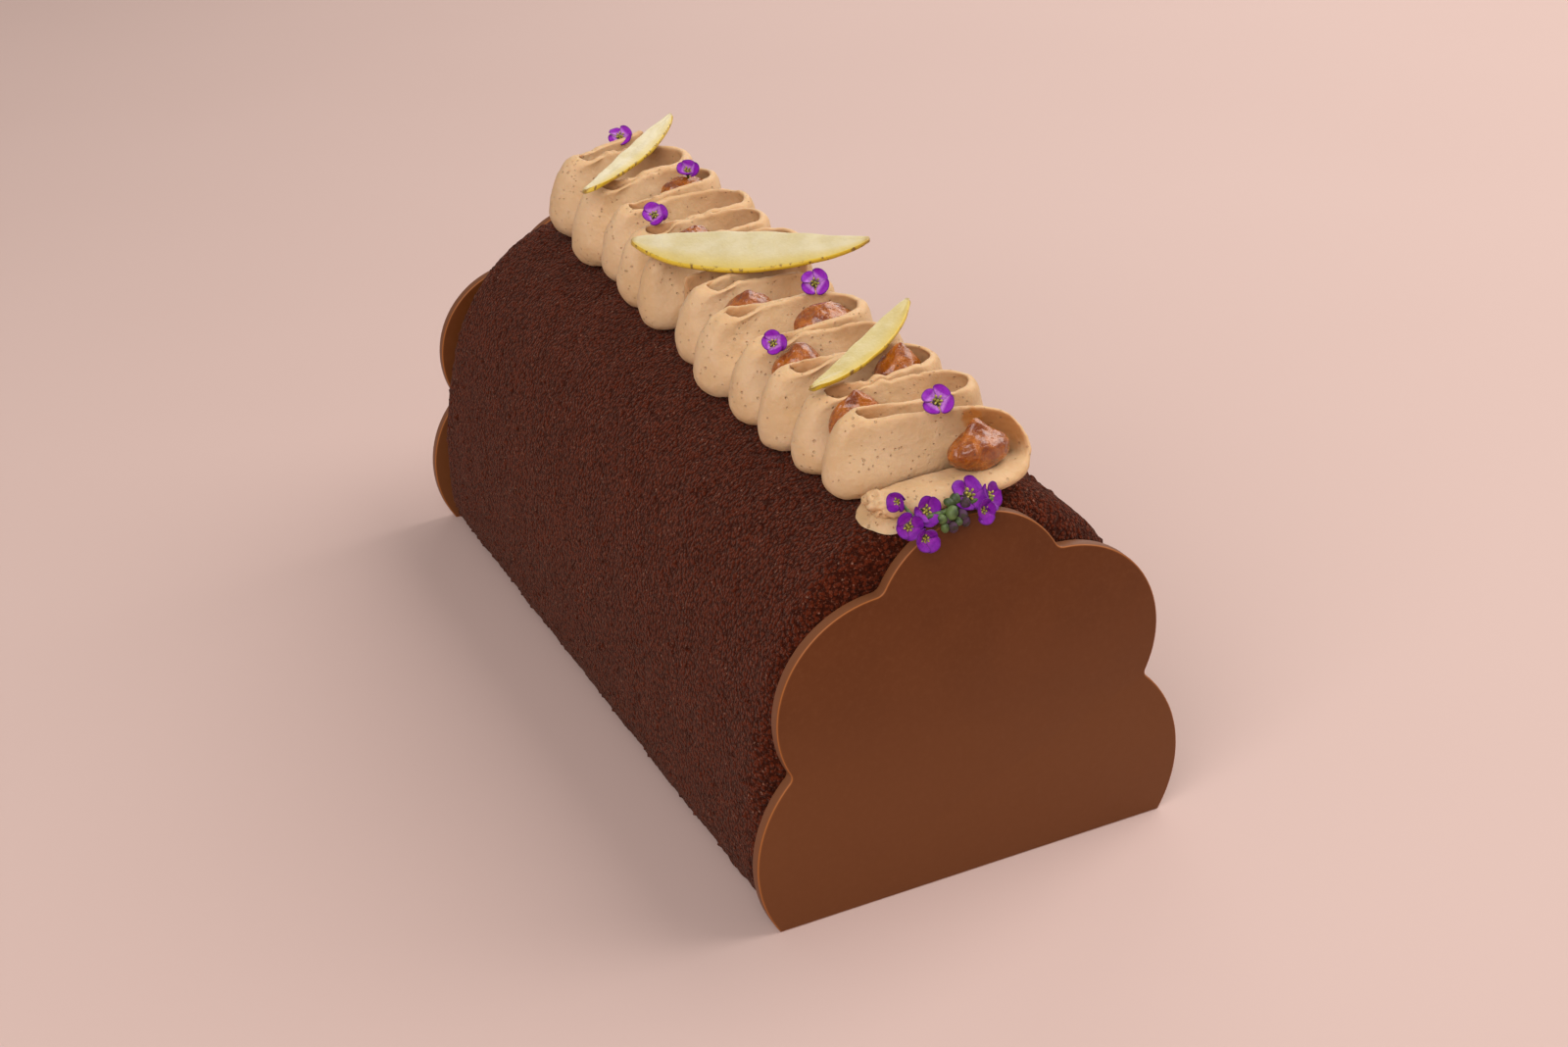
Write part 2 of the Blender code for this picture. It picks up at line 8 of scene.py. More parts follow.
from bisect import bisect_right
from math import atan2, cos, exp, hypot, pi, radians, sin, sqrt

import bmesh
import bpy
from mathutils import Euler, Matrix, Vector, noise


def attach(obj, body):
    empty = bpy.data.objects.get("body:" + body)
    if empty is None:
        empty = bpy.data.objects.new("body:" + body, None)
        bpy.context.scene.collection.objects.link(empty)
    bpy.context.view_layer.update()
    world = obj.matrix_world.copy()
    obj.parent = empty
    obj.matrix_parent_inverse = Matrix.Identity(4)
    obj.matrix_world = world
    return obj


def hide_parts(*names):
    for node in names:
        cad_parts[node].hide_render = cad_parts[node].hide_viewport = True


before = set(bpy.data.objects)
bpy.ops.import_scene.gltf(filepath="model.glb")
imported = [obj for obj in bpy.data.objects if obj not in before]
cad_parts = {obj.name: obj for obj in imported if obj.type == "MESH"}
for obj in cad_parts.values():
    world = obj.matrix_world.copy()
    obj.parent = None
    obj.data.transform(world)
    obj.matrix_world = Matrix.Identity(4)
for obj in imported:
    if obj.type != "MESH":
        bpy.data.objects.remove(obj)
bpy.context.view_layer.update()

MM = 0.001

# camera and light, in metres
CAMERA_PLACE = (-0.1688, -0.4029, 0.2499)
CAMERA_YAW = radians(23.675)
CAMERA_DOWN = radians(26.753)
CAMERA_ROLL = radians(-3.188)
LENS = 50.63
SKY_COLOUR = (1.0, 0.95, 0.92, 1.0)
SKY_STRENGTH = 0.34

# the log, as in the frame
LOG_LENGTH = 200.0
GAP = 0.35
BODY_HALF_WIDTH = 43.0
BODY_HEIGHT = 76.5
BODY_WAIST = 8.1
BODY_POWER = 2.34
BODY_BASE_HALF = 40.5
BODY_FILLET = 7.0
BODY_COLUMNS, BODY_ROWS, BASE_COLUMNS = 290, 272, 8
PLAQUE_THICKNESS = 2.6
BODY_HALF_LENGTH = LOG_LENGTH / 2 - PLAQUE_THICKNESS - GAP
# scallops of the right-hand side: (height, x, radius)
TOP_LOBE = (55.94, 0.0, 19.76)
UPPER_LOBE = (42.6, 18.0, 21.6)
LOWER_LOBE = (13.54, 19.34, 25.66)
LOBE_STEP = radians(3)
UPPER_VALLEY, LOWER_VALLEY = 2.2, 1.4
VALLEY_STEPS = 8
PLAQUE_EDGE = 0.45

# the ruffle, fold by fold: (side, distance from the front face, furthest x of the rim, its height)
LEFT, RIGHT = -1, 1
BACK_RUN = [
    (LEFT, 178.0, -6.0, 94.9), (RIGHT, 168.0, 17.2, 95.0),
    (LEFT, 157.2, -8.4, 94.0), (RIGHT, 150.0, 16.2, 95.2),
    (LEFT, 142.4, -7.2, 93.2), (RIGHT, 134.6, 17.8, 93.8),
    (LEFT, 127.2, -9.4, 92.6), (RIGHT, 120.6, 15.4, 93.8),
    (LEFT, 113.4, -10.2, 92.4), (RIGHT, 106.4, 17.4, 93.0),
]
BACK_START = (13.5, 184.6, 96.6)
BACK_END = (-11.0, 102.4, 89.5)
FRONT_RUN = [
    (LEFT, 91.0, -10.6, 91.5), (RIGHT, 83.4, 12.6, 90.8),
    (LEFT, 75.9, -12.9, 91.1), (RIGHT, 67.6, 12.4, 91.6),
    (LEFT, 59.4, -12.6, 90.4), (RIGHT, 52.4, 11.8, 90.6),
    (LEFT, 45.8, -13.0, 90.1), (RIGHT, 39.4, 13.2, 90.2),
    (LEFT, 32.6, -12.2, 89.6), (RIGHT, 26.4, 14.2, 89.4),
    (LEFT, 20.2, -12.0, 90.3),
]
FRONT_START = (14.0, 94.4, 91.5)
# the last fold opens into a cup and the end of the ribbon lies flat: pairs of base and rim points
CUP = [
    ((3.0, 16.6, 76.9), (3.4, 13.6, 90.1)),
    ((9.0, 16.4, 76.6), (9.4, 12.8, 89.3)),
    ((13.0, 14.8, 76.8), (14.6, 11.0, 87.0)),
    ((13.2, 12.4, 77.0), (16.4, 8.0, 82.0)),
    ((9.6, 12.0, 77.4), (13.2, 4.2, 78.9)),
    ((4.0, 12.6, 77.7), (6.6, 2.2, 78.4)),
    ((-4.0, 13.2, 77.6), (-4.0, 2.2, 77.6)),
    ((-11.4, 13.0, 77.2), (-11.8, 5.2, 76.8)),
    ((-15.2, 12.8, 77.2), (-15.4, 8.0, 76.6)),
]
LEFT_BULGE = 5.2
RIGHT_BULGE = 1.6
RIM_HALF = 0.55
RIM_LEVEL = 0.5
BASE_SQUEEZE = 0.2
SLIT = 1.1                  # extra room inside a left-hand fold at its rim
SLIT_SHARE = 0.34           # share of a pass in which its two walls come together
SLIT_DIP = 1.2
CUP_SHADE = 0.5             # how much painted shade lies inside a right-hand fold
# painted shade inside the front cup, partly standing for its caramel staining
FRONT_CUP_SHADE = 1.3
PRESS = 0.72
LOBE_AIR = 0.15
TROUGH_AIR = 0.25
START_BASE = 0.9
END_THINNING = 0.25
CUP_HALF = 1.9
CUP_HALF_MORE = 1.1
CUP_EASE = 2.3              # in knots of the cup
ARC_STEPS = 12
PASS_STEPS = 22
CUP_STEPS = 8
RIBBON_LEVELS = 15
ROLL = 1.15                 # fullness of the roll where the ribbon lies flat
FOOT_MIDDLE = (-11.5, 10.2)
FOOT_HALF = (5.5, 5.7, 0.5)
FOOT_LIFT = 0.6
STAIN = (7.2, 12.4, 88.0)   # where the caramel ran down from the cup's rim
STAIN_REACH = 3.2
# shares of the half thickness and of the bulge by level, from 0 at the base to 1 at the rim
THICKNESS = ((0.0, 0.72), (0.15, 0.97), (0.3, 0.95), (0.5, 0.68), (0.7, 0.42), (0.88, 0.26), (1.0, 0.2))
SWELL = ((0.0, 0.6), (0.12, 0.86), (0.3, 1.0), (0.5, 1.02), (0.7, 0.94), (0.86, 0.72), (0.95, 0.42),
         (1.0, 0.0))

# caramel dots: (x, distance from the front face, z, half length, half width, half height)
FRONT_DOTS = [
    (-4.6, 83.4, 86.4, 6.2, 4.4, 4.4), (4.8, 67.6, 87.6, 6.4, 4.8, 4.2),
    (-8.0, 52.6, 86.0, 5.6, 4.2, 4.6), (6.6, 39.4, 86.4, 5.2, 4.4, 5.0),
    (-8.6, 26.4, 85.4, 5.8, 4.2, 4.8),
]
BACK_DOTS = [(9.6, 150.0, 91.6, 5.6, 4.0, 3.4), (-0.8, 120.4, 90.4, 4.6, 3.2, 2.8)]
CUP_DOT = (6.3, 8.6, 83.4, 6.0, 3.9, 3.8)
# how far each dot is drawn up at its peak
DOT_PEAKS = [0.5, 0.3, 0.8, 1.4, 1.6, 0.2, 0.2, 1.8]
DOT_AIR = 0.2

# pear slices: two tips, width, thickness, lean towards the skin in degrees and sag
PEAR_SLICES = [
    ((22.2, 187.4, 98.0), (-15.0, 149.6, 95.8), 6.0, 1.4, 5, 0.1),
    ((-16.6, 116.6, 94.4), (24.0, 84.6, 96.4), 14.8, 1.5, 16, -0.2),
    ((16.0, 52.8, 95.2), (-16.0, 30.6, 91.9), 5.6, 1.4, 6, 0.5),
]
# painted light: how much paler each slice's flesh is painted, slice by slice
LIT_FLESH = [0.9, 1.0, 0.0]
SKIN_SHARE, SKIN_POWER = 0.76, 0.8
CUT_SHARE, CUT_POWER = 0.24, 0.7
CUT_LEAN = 0.62
SLICE_TIP = 0.3

# flowers: (x, distance from the front face, z, lean about X, lean about Y, turn, size)
FLOWERS = [
    (7.4, 184.4, 95.5, 30, -8, 10, 1.0), (9.6, 147.4, 96.4, 34, -16, 40, 1.0),
    (-6.0, 129.6, 94.1, 40, -22, 75, 1.0), (6.6, 75.3, 93.1, 44, -14, 20, 1.0),
    (-12.6, 53.8, 91.8, 46, -26, 60, 0.87), (0.6, 13.2, 91.9, 38, -10, 30, 1.0),
]
SPRIG_FLOWERS = [
    (-12.4, 3.6, 79.8, 30, -72, 0, 0.76), (-9.1, 0.6, 78.4, 62, 14, 25, 0.98),
    (-0.2, 1.2, 78.6, 40, 12, 50, 1.16), (3.4, 0.8, 77.9, 48, 52, 15, 1.0),
    (-13.0, -0.6, 76.9, 70, -42, 70, 0.9), (-10.9, -2.3, 74.9, 86, -6, 35, 0.9),
    (1.4, -1.0, 76.7, 78, 16, 10, 0.86),
]
SPRIG_STEM = [(-11.0, -0.3, 77.4), (-6.0, -0.3, 77.6), (0.0, 0.2, 78.0), (4.2, 0.2, 77.6)]
SPRIG_BUDS = [
    (-3.0, 0.6, 79.0, 1.3), (-1.6, -0.6, 78.4, 1.2), (-4.6, -1.2, 77.6, 1.4), (-2.6, -1.4, 76.9, 1.2),
    (-4.4, 0.2, 79.0, 1.0), (-5.6, -1.0, 76.4, 1.2), (-3.6, -1.7, 76.0, 1.0), (2.0, -0.4, 77.4, 0.9),
    (-6.6, -1.3, 76.9, 1.1), (-4.8, -1.9, 75.2, 1.2), (-6.2, -1.6, 75.3, 1.0), (-2.2, -1.7, 75.6, 1.1),
]
# which of the three flower shapes each flower has
FLOWER_SHAPES = [0, 2, 1, 0, 1, 0]
SPRIG_SHAPES = [2, 1, 0, 1, 1, 2, 2]
FLOWER_RADIUS = 3.2
PETAL_STEPS = 10
PETAL_TILT = 0.4            # one side of each petal lies over the next petal
FLOWER_STEM = [(0.0, 0.0, -0.3), (0.15, 0.0, -1.6), (0.1, 0.1, -2.6)]
THROAT, STEM, STAMEN, SHADE = 1, 2, 3, 4


class Wire:
    """A socket that gives a value, usable in Python sums; each sum adds its Math node."""

    def __init__(self, finish, socket):
        self.finish = finish
        self.socket = socket

    def math(self, operation, first, second):
        return self.finish.node("Math", {"operation": operation}, {0: first, 1: second})

    def __add__(self, other):
        return self.math("ADD", self, other)

    def __radd__(self, other):
        return self.math("ADD", other, self)

    def __sub__(self, other):
        return self.math("SUBTRACT", self, other)

    def __rsub__(self, other):
        return self.math("SUBTRACT", other, self)

    def __mul__(self, other):
        return self.math("MULTIPLY", self, other)

    def __rmul__(self, other):
        return self.math("MULTIPLY", other, self)

    def above(self, low, high):
        """0 below low, 1 above high and a soft step between; the other way round if low is larger."""
        ends = {1: min(low, high), 2: max(low, high), 3: float(low > high), 4: float(low < high)}
        return self.finish.node("MapRange", {"interpolation_type": "SMOOTHSTEP"}, {0: self, **ends})


class Finish:
    """A procedural material. node() adds any node and gives back one of its outputs."""

    def __init__(self, name, **sockets):
        self.material = bpy.data.materials.new(name)
        self.material.use_nodes = True
        self.tree = self.material.node_tree
        self.shader = self.tree.nodes["Principled BSDF"]
        self.wear(**sockets)

    def set(self, node, sockets):
        for key, value in sockets.items():
            if isinstance(value, Wire):
                self.tree.links.new(value.socket, node.inputs[key])
            elif isinstance(value, tuple) and node.inputs[key].type == "RGBA":
                node.inputs[key].default_value = (*value, 1.0)
            else:
                node.inputs[key].default_value = value

    def node(self, kind, settings=None, sockets=None, output=0):
        node = self.tree.nodes.new("ShaderNode" + kind)
        for key, value in (settings or {}).items():
            setattr(node, key, value)
        self.set(node, sockets or {})
        return Wire(self, node.outputs[output])

    def place(self):
        """The place on the piece, in millimetres."""
        here = self.node("TexCoord", output=3)
        return self.node("VectorMath", {"operation": "SCALE"}, {0: here, "Scale": 1 / MM})

    def height(self, place):
        return self.node("SeparateXYZ", None, {0: place}, output=2)

    def noise(self, place, size, detail=2.0, roughness=0.5, distortion=0.0):
        """Cloudy variation from 0 to 1, about size millimetres across."""
        return self.node("TexNoise", None, {"Vector": place, "Scale": 1 / size, "Detail": detail,
                                            "Roughness": roughness, "Distortion": distortion})

    def cells(self, place, size):
        """Distance to the nearest of scattered points, in cells of size millimetres."""
        return self.node("TexVoronoi", None, {"Vector": place, "Scale": 1 / size})

    def tone(self, name):
        """A value that the mesh carries point by point."""
        return self.node("Attribute", {"attribute_name": name}, None, output=2)

    def mix(self, share, first, second):
        """A colour between two colours."""
        settings = {"data_type": "RGBA", "clamp_factor": True}
        return self.node("Mix", settings, {0: share, 6: first, 7: second}, output=2)

    def bump(self, height, depth, under=None):
        """A normal from a height, depth millimetres from 0 to 1."""
        sockets = {"Height": height, "Distance": depth * MM, "Strength": 1.0}
        if under:
            sockets["Normal"] = under
        return self.node("Bump", None, sockets)

    def wear(self, **sockets):
        """Give values to the shader's own sockets."""
        self.set(self.shader, {key.replace("_", " "): value for key, value in sockets.items()})
        return self.material


def chocolate_velvet():
    """Sprayed cocoa butter and chocolate: matt, in fine crumbs, with painted shade in the gaps between
    them.
    """
    finish = Finish("chocolate_velvet", Specular_IOR_Level=0.06, Sheen_Weight=0.14, Sheen_Roughness=0.2,
                    Sheen_Tint=(1.0, 0.62, 0.48))
    place = finish.place()
    cloud = finish.noise(place, 12.0, 3.0)
    crumb = finish.cells(place, 0.82)
    grain = finish.noise(place, 0.5, 3.0, 0.65)
    speck = finish.cells(place, 1.5).above(0.17, 0.1) * finish.noise(place, 4.0).above(0.45, 0.6)
    colour = finish.mix(cloud.above(0.3, 0.7), (0.106, 0.0160, 0.0046), (0.122, 0.0200, 0.0066))
    # painted shade: the gaps between the crumbs are darkened
    colour = finish.mix(crumb.above(0.35, 0.62) * 0.8, colour, (0.022, 0.0035, 0.0012))
    colour = finish.mix(grain.above(0.5, 0.34) * 0.6, colour, (0.028, 0.0048, 0.0020))
    colour = finish.mix(grain.above(0.56, 0.7) * 0.75, colour, (0.23, 0.078, 0.045))
    colour = finish.mix(speck * 0.65, colour, (0.36, 0.18, 0.12))
    under = finish.bump(1 - crumb, 0.55)
    normal = finish.bump(grain, 0.5, under)
    return finish.wear(Base_Color=colour, Roughness=0.8 + 0.2 * grain, Normal=normal)


def milk_chocolate():
    """Moulded milk chocolate: satin, faintly clouded, with a painted highlight along the rims,
    painted light on the side band and painted bounce light towards the bottom.
    """
    finish = Finish("milk_chocolate", Specular_IOR_Level=0.2)
    place = finish.place()
    cloud = finish.noise(place, 15.0, 4.0, 0.55)
    fine = finish.noise(place, 1.3, 4.0, 0.65)
    rim = finish.tone("rim")
    side = finish.tone("side")
    colour = finish.mix(cloud.above(0.3, 0.7), (0.102, 0.0240, 0.0026), (0.120, 0.0300, 0.0046))
    # painted bounce light: the plaque is paler towards its bottom
    low = finish.height(place).above(68.0, 16.0)
    colour = finish.mix(low, colour, (0.150, 0.0465, 0.0125))
    colour = finish.mix(fine.above(0.4, 0.8) * 0.2, colour, (0.19, 0.062, 0.021))
    # painted light on the plaque's side band
    colour = finish.mix(side * 0.8, colour, (0.19, 0.070, 0.028))
    # painted highlight along the rims
    colour = finish.mix(rim * 0.95, colour, (0.42, 0.135, 0.030))
    roughness = 0.40 + 0.16 * cloud - 0.05 * rim
    normal = finish.bump(finish.noise(place, 8.0, 2.0), 0.14, finish.bump(fine, 0.025))
    return finish.wear(Base_Color=colour, Roughness=roughness, Normal=normal)


def whipped_cream():
    """Whipped caramel ganache: soft and matt, with pinholes where air bubbles burst, painted shade in
    the pinholes and inside the folds, and painted light through the thin rims.
    """
    finish = Finish("whipped_cream", Subsurface_Weight=0.2, Subsurface_Radius=(1.0, 0.45, 0.2),
                    Subsurface_Scale=0.0014, Specular_IOR_Level=0.3)
    place = finish.place()
    cloud = finish.noise(place, 9.0, 3.0)
    small = finish.noise(place, 1.6, 3.0)
    fine = finish.noise(place, 0.45, 2.0)
    hole = finish.cells(place, 1.9).above(0.17, 0.08) * finish.noise(place, 6.0, 1.0).above(0.46, 0.56)
    pin = finish.cells(place, 1.2).above(0.19, 0.09) * finish.noise(place, 3.3, 1.0).above(0.46, 0.56)
    pits = 1 - (1 - hole) * (1 - pin)
    colour = finish.mix(cloud.above(0.3, 0.7), (0.595, 0.375, 0.190), (0.655, 0.435, 0.245))
    colour = finish.mix(small.above(0.5, 0.8) * 0.3, colour, (0.73, 0.51, 0.33))
    # painted light shining through the thin rims, more orange
    colour = finish.mix(finish.tone("rim") * 0.3, colour, (0.72, 0.42, 0.19))
    # painted shade inside the folds, slits and front cup
    colour = finish.mix(finish.tone("hollow") * 0.82, colour, (0.42, 0.18, 0.055))
    colour = finish.mix(finish.tone("stain").above(0.3, 1.0) * 0.8, colour, (0.50, 0.17, 0.02))
    # painted shade in the pinholes
    colour = finish.mix(pits * 0.35, colour, (0.38, 0.20, 0.10))
    normal = finish.bump(1 - pits, 0.3, finish.bump(small, 0.26, finish.bump(fine, 0.06)))
    return finish.wear(Base_Color=colour, Roughness=0.5 + 0.14 * cloud, Normal=normal)


def caramel():
    """Thick caramel compote: glossy amber, with pale and dark specks of fruit and vanilla."""
    finish = Finish("caramel", Subsurface_Weight=0.2, Subsurface_Radius=(1.0, 0.3, 0.05),
                    Subsurface_Scale=0.0015, Specular_IOR_Level=0.45, Coat_Roughness=0.03)
    place = finish.place()
    cloud = finish.noise(place, 2.6, 3.0, 0.6, 0.6)
    speck = finish.cells(place, 0.8).above(0.24, 0.12) * finish.noise(place, 1.7).above(0.46, 0.58)
    dark = finish.cells(place, 1.2).above(0.18, 0.09) * finish.noise(place, 2.3).above(0.48, 0.58)
    lump = finish.noise(place, 1.3, 3.0, 0.6)
    colour = finish.mix(cloud.above(0.32, 0.68), (0.21, 0.038, 0.0006), (0.46, 0.125, 0.002))
    colour = finish.mix(speck * 0.35, colour, (0.66, 0.30, 0.06))
    colour = finish.mix(dark * 0.8, colour, (0.05, 0.012, 0.002))
    normal = finish.bump(lump, 0.6)
    return finish.wear(Base_Color=colour, Roughness=0.16 + 0.2 * cloud, Coat_Weight=0.75, Normal=normal)


def pear():
    """Pear: pale moist flesh with a yellow skin, browned in flecks and at the tips, with painted light
    making the flesh paler on the slices that catch more light.
    """
    finish = Finish("pear", Subsurface_Weight=0.3, Subsurface_Radius=(1.0, 0.85, 0.4),
                    Subsurface_Scale=0.002, Specular_IOR_Level=0.45, Coat_Roughness=0.2)
    place = finish.place()
    grain = finish.noise(place, 0.7, 3.0, 0.6)
    cloud = finish.noise(place, 5.0, 3.0)
    skin = finish.tone("skin")
    tip = finish.tone("tip")
    fleck = finish.noise(place, 1.4, 3.0, 0.65).above(0.52, 0.64)
    # painted light: a paler flesh for the slices that catch more light
    pale = finish.mix(cloud.above(0.3, 0.7), (0.60, 0.50, 0.27), (0.66, 0.57, 0.36))
    colour = finish.mix(cloud.above(0.3, 0.7), (0.53, 0.41, 0.145), (0.59, 0.48, 0.215))
    colour = finish.mix(finish.tone("pale"), colour, pale)
    colour = finish.mix(grain.above(0.5, 0.75) * 0.35, colour, (0.68, 0.60, 0.40))
    colour = finish.mix(skin.above(0.5, 0.97) * 0.7, colour, (0.60, 0.43, 0.06))
    colour = finish.mix(skin.above(0.93, 0.985), colour, (0.64, 0.42, 0.022))
    colour = finish.mix(skin.above(0.9, 0.98) * fleck * 0.85, colour, (0.17, 0.075, 0.012))
    colour = finish.mix(tip * 0.75, colour, (0.40, 0.22, 0.03))
    normal = finish.bump(grain, 0.08, finish.bump(cloud, 0.3))
    return finish.wear(Base_Color=colour, Roughness=0.36 + 0.2 * grain, Coat_Weight=0.15, Normal=normal)


def petal(name, outer, inner):
    """Purple petals, darkest at the edge and lilac towards the throat, with fine veins."""
    finish = Finish(name, Subsurface_Weight=0.1, Subsurface_Radius=(1.0, 0.2, 1.0),
                    Subsurface_Scale=0.0006, Specular_IOR_Level=0.3)
    place = finish.place()
    reach = finish.tone("reach")
    edge = finish.tone("edge")
    vein = finish.noise(place, 0.45, 2.0)
    colour = finish.mix(reach.above(0.6, 0.36), outer, inner)
    colour = finish.mix(vein.above(0.45, 0.7) * 0.35, colour, (0.11, 0.001, 0.19))
    colour = finish.mix(edge.above(0.78, 1.0) * 0.6, colour, (0.06, 0.0005, 0.11))
    colour = finish.mix(reach.above(0.26, 0.14) * 0.7, colour, (0.34, 0.24, 0.20))
    return finish.wear(Base_Color=colour, Roughness=0.5 + 0.2 * vein, Normal=finish.bump(vein, 0.08))


def plain(name, colour, other, size, roughness):
    """A small soft thing of two mottled colours."""
    finish = Finish(name)
    cloud = finish.noise(finish.place(), size, 2.0)
    return finish.wear(Base_Color=finish.mix(cloud.above(0.35, 0.65), colour, other),
                       Roughness=roughness + 0.1 * cloud, Normal=finish.bump(cloud, 0.1))


def floor_paint():
    """A plain pale pink ground."""
    finish = Finish("floor_paint", Specular_IOR_Level=0.15)
    cloud = finish.noise(finish.place(), 260.0, 2.0)
    colour = finish.mix(cloud, (0.60, 0.430, 0.380), (0.63, 0.460, 0.410))
    return finish.wear(Base_Color=colour, Roughness=0.85 + 0.1 * cloud)


def along(distance):
    """The y of a place measured from the front face."""
    return distance - LOG_LENGTH / 2


def mix_of(a, b, share):
    return a + (b - a) * share


def soft_step(value):
    value = min(max(value, 0.0), 1.0)
    return value * value * (3 - 2 * value)


def curve_at(stops, value):
    """Smooth reading of a list of (place, value) stops."""
    places = [p for p, _ in stops]
    i = min(max(bisect_right(places, value) - 1, 0), len(stops) - 2)
    slopes = []
    for k in (i, i + 1):
        a, b = stops[max(k - 1, 0)], stops[min(k + 1, len(stops) - 1)]
        slopes.append((b[1] - a[1]) / (b[0] - a[0]))
    (p, u), (q, v) = stops[i], stops[i + 1]
    t = min(max((value - p) / (q - p), 0.0), 1.0)
    width = q - p
    return ((2 * t ** 3 - 3 * t ** 2 + 1) * u + (t ** 3 - 2 * t ** 2 + t) * width * slopes[0]
            + (3 * t ** 2 - 2 * t ** 3) * v + (t ** 3 - t ** 2) * width * slopes[1])


def add(primitive, **settings):
    """Add one primitive with nothing else selected."""
    bpy.ops.object.select_all(action="DESELECT")
    primitive(**settings)
    return bpy.context.object


def new_object(name, data):
    """An object of finished data, in the scene."""
    obj = bpy.data.objects.new(name, data)
    bpy.context.collection.objects.link(obj)
    return obj


def choose(obj):
    bpy.ops.object.select_all(action="DESELECT")
    obj.select_set(True)
    bpy.context.view_layer.objects.active = obj


def modify(obj, kind, **settings):
    """Add a modifier and apply it."""
    choose(obj)
    modifier = obj.modifiers.new(kind.title(), kind)
    for key, value in settings.items():
        setattr(modifier, key, value)
    bpy.ops.object.modifier_apply(modifier=modifier.name)


def join(pieces):
    """Join pieces into the first one."""
    bpy.ops.object.select_all(action="DESELECT")
    for piece in pieces:
        piece.select_set(True)
    bpy.context.view_layer.objects.active = pieces[0]
    bpy.ops.object.join()
    return pieces[0]


def settle(obj):
    """Put an object's place, turn and size into its mesh."""
    choose(obj)
    bpy.ops.object.transform_apply(location=True, rotation=True, scale=True)


def edit_all(obj):
    """Enter edit mode with the whole mesh selected."""
    choose(obj)
    bpy.ops.object.mode_set(mode="EDIT")
    bpy.ops.mesh.select_all(action="SELECT")


def face_out(obj):
    edit_all(obj)
    bpy.ops.mesh.normals_make_consistent(inside=False)
    bpy.ops.object.mode_set(mode="OBJECT")


def paint(obj, *materials):
    obj.data.materials.clear()
    for material in materials:
        obj.data.materials.append(material)


def tones(obj, name, values):
    """Write one value for each point, which the material reads."""
    layer = obj.data.attributes.new(name, "FLOAT", "POINT")
    layer.data.foreach_set("value", values)


def hand_over(obj, name, node, angle=60):
    """Turn a finished piece to metres, name it and let it stand for its solid."""
    obj.name = name
    obj.data.name = name
    obj.scale = (MM, MM, MM)
    settle(obj)
    bpy.ops.object.shade_smooth_by_angle(angle=radians(angle))
    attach(obj, "root")
    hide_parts(node)


def body_surface(x, distance):
    """Height of the log's top at x, with the rounding of its ends."""
    arch = BODY_HEIGHT - BODY_WAIST
    side = min(abs(x) / BODY_HALF_WIDTH, 1.0)
    height = BODY_WAIST + arch * (1 - side ** BODY_POWER) ** (1 / BODY_POWER)
    inside = min(distance, LOG_LENGTH - distance) - PLAQUE_THICKNESS - GAP
    if inside < BODY_FILLET:
        reach = BODY_FILLET - max(inside, 0.0)
        height -= BODY_FILLET - sqrt(BODY_FILLET ** 2 - reach ** 2)
    return height


def body_outline(steps=400):
    """The log's arch from the right foot over the crown to the left foot, as (x, z) points."""
    arch = BODY_HEIGHT - BODY_WAIST
    right = [(BODY_BASE_HALF - 1.2, 0.0), (BODY_BASE_HALF - 0.4, 0.5), (BODY_BASE_HALF + 0.2, 1.6)]
    for i in range(steps // 2 + 1):
        t = (pi / 2) * i / (steps // 2)
        right.append((BODY_HALF_WIDTH * cos(t) ** (2 / BODY_POWER),
                      BODY_WAIST + arch * sin(t) ** (2 / BODY_POWER)))
    return right + [(-x, z) for x, z in reversed(right[:-1])]


def even_points(outline, count):
    """count + 1 points spaced evenly along an outline, each with its outward direction."""
    lengths = [0.0]
    for a, b in zip(outline, outline[1:]):
        lengths.append(lengths[-1] + hypot(b[0] - a[0], b[1] - a[1]))
    result = []
    for i in range(count + 1):
        far = lengths[-1] * i / count
        k = min(max(bisect_right(lengths, far) - 1, 0), len(outline) - 2)
        a, b = outline[k], outline[k + 1]
        t = (far - lengths[k]) / (lengths[k + 1] - lengths[k])
        run = Vector((b[0] - a[0], b[1] - a[1])).normalized()
        result.append((mix_of(a[0], b[0], t), mix_of(a[1], b[1], t), run.y, -run.x))
    return result


def end_rounding(share):
    """Place along the log and inset of the section, at a share of the way from front to back."""
    half = BODY_HALF_LENGTH
    arc = BODY_FILLET * pi / 2
    straight = 2 * (half - BODY_FILLET)
    far = share * (straight + 2 * arc)
    if far < arc:
        turn = far / BODY_FILLET
        return -half + BODY_FILLET * (1 - cos(turn)), BODY_FILLET * (1 - sin(turn))
    if far > arc + straight:
        turn = (far - arc - straight) / BODY_FILLET
        return half - BODY_FILLET + BODY_FILLET * sin(turn), BODY_FILLET * (1 - cos(turn))
    return -half + BODY_FILLET + far - arc, 0.0


def crumb_height(point):
    """Height of the velvet's crumbs and of the log's slow unevenness at a place."""
    coarse = noise.noise(point * 0.11) * 0.30
    lumps = noise.noise(point * 0.5) * 0.10
    crumbs = noise.noise(point * 1.1) * 0.17
    loose = max(noise.noise(point * 0.9 + Vector((40, 0, 0))) - 0.32, 0.0) * 1.6
    return coarse + lumps + crumbs + loose


def fill_ends(obj):
    """Close the two open ends of a tube along Y, each with one face."""
    choose(obj)
    for end in (-1, 1):
        bpy.ops.object.mode_set(mode="EDIT")
        bpy.ops.mesh.select_mode(type="EDGE")
        bpy.ops.mesh.select_all(action="DESELECT")
        bm = bmesh.from_edit_mesh(obj.data)
        for edge in bm.edges:
            edge.select_set(edge.is_boundary and all(v.co.y * end > 0 for v in edge.verts))
        bmesh.update_edit_mesh(obj.data)
        bpy.ops.mesh.edge_face_add()
        bpy.ops.object.mode_set(mode="OBJECT")


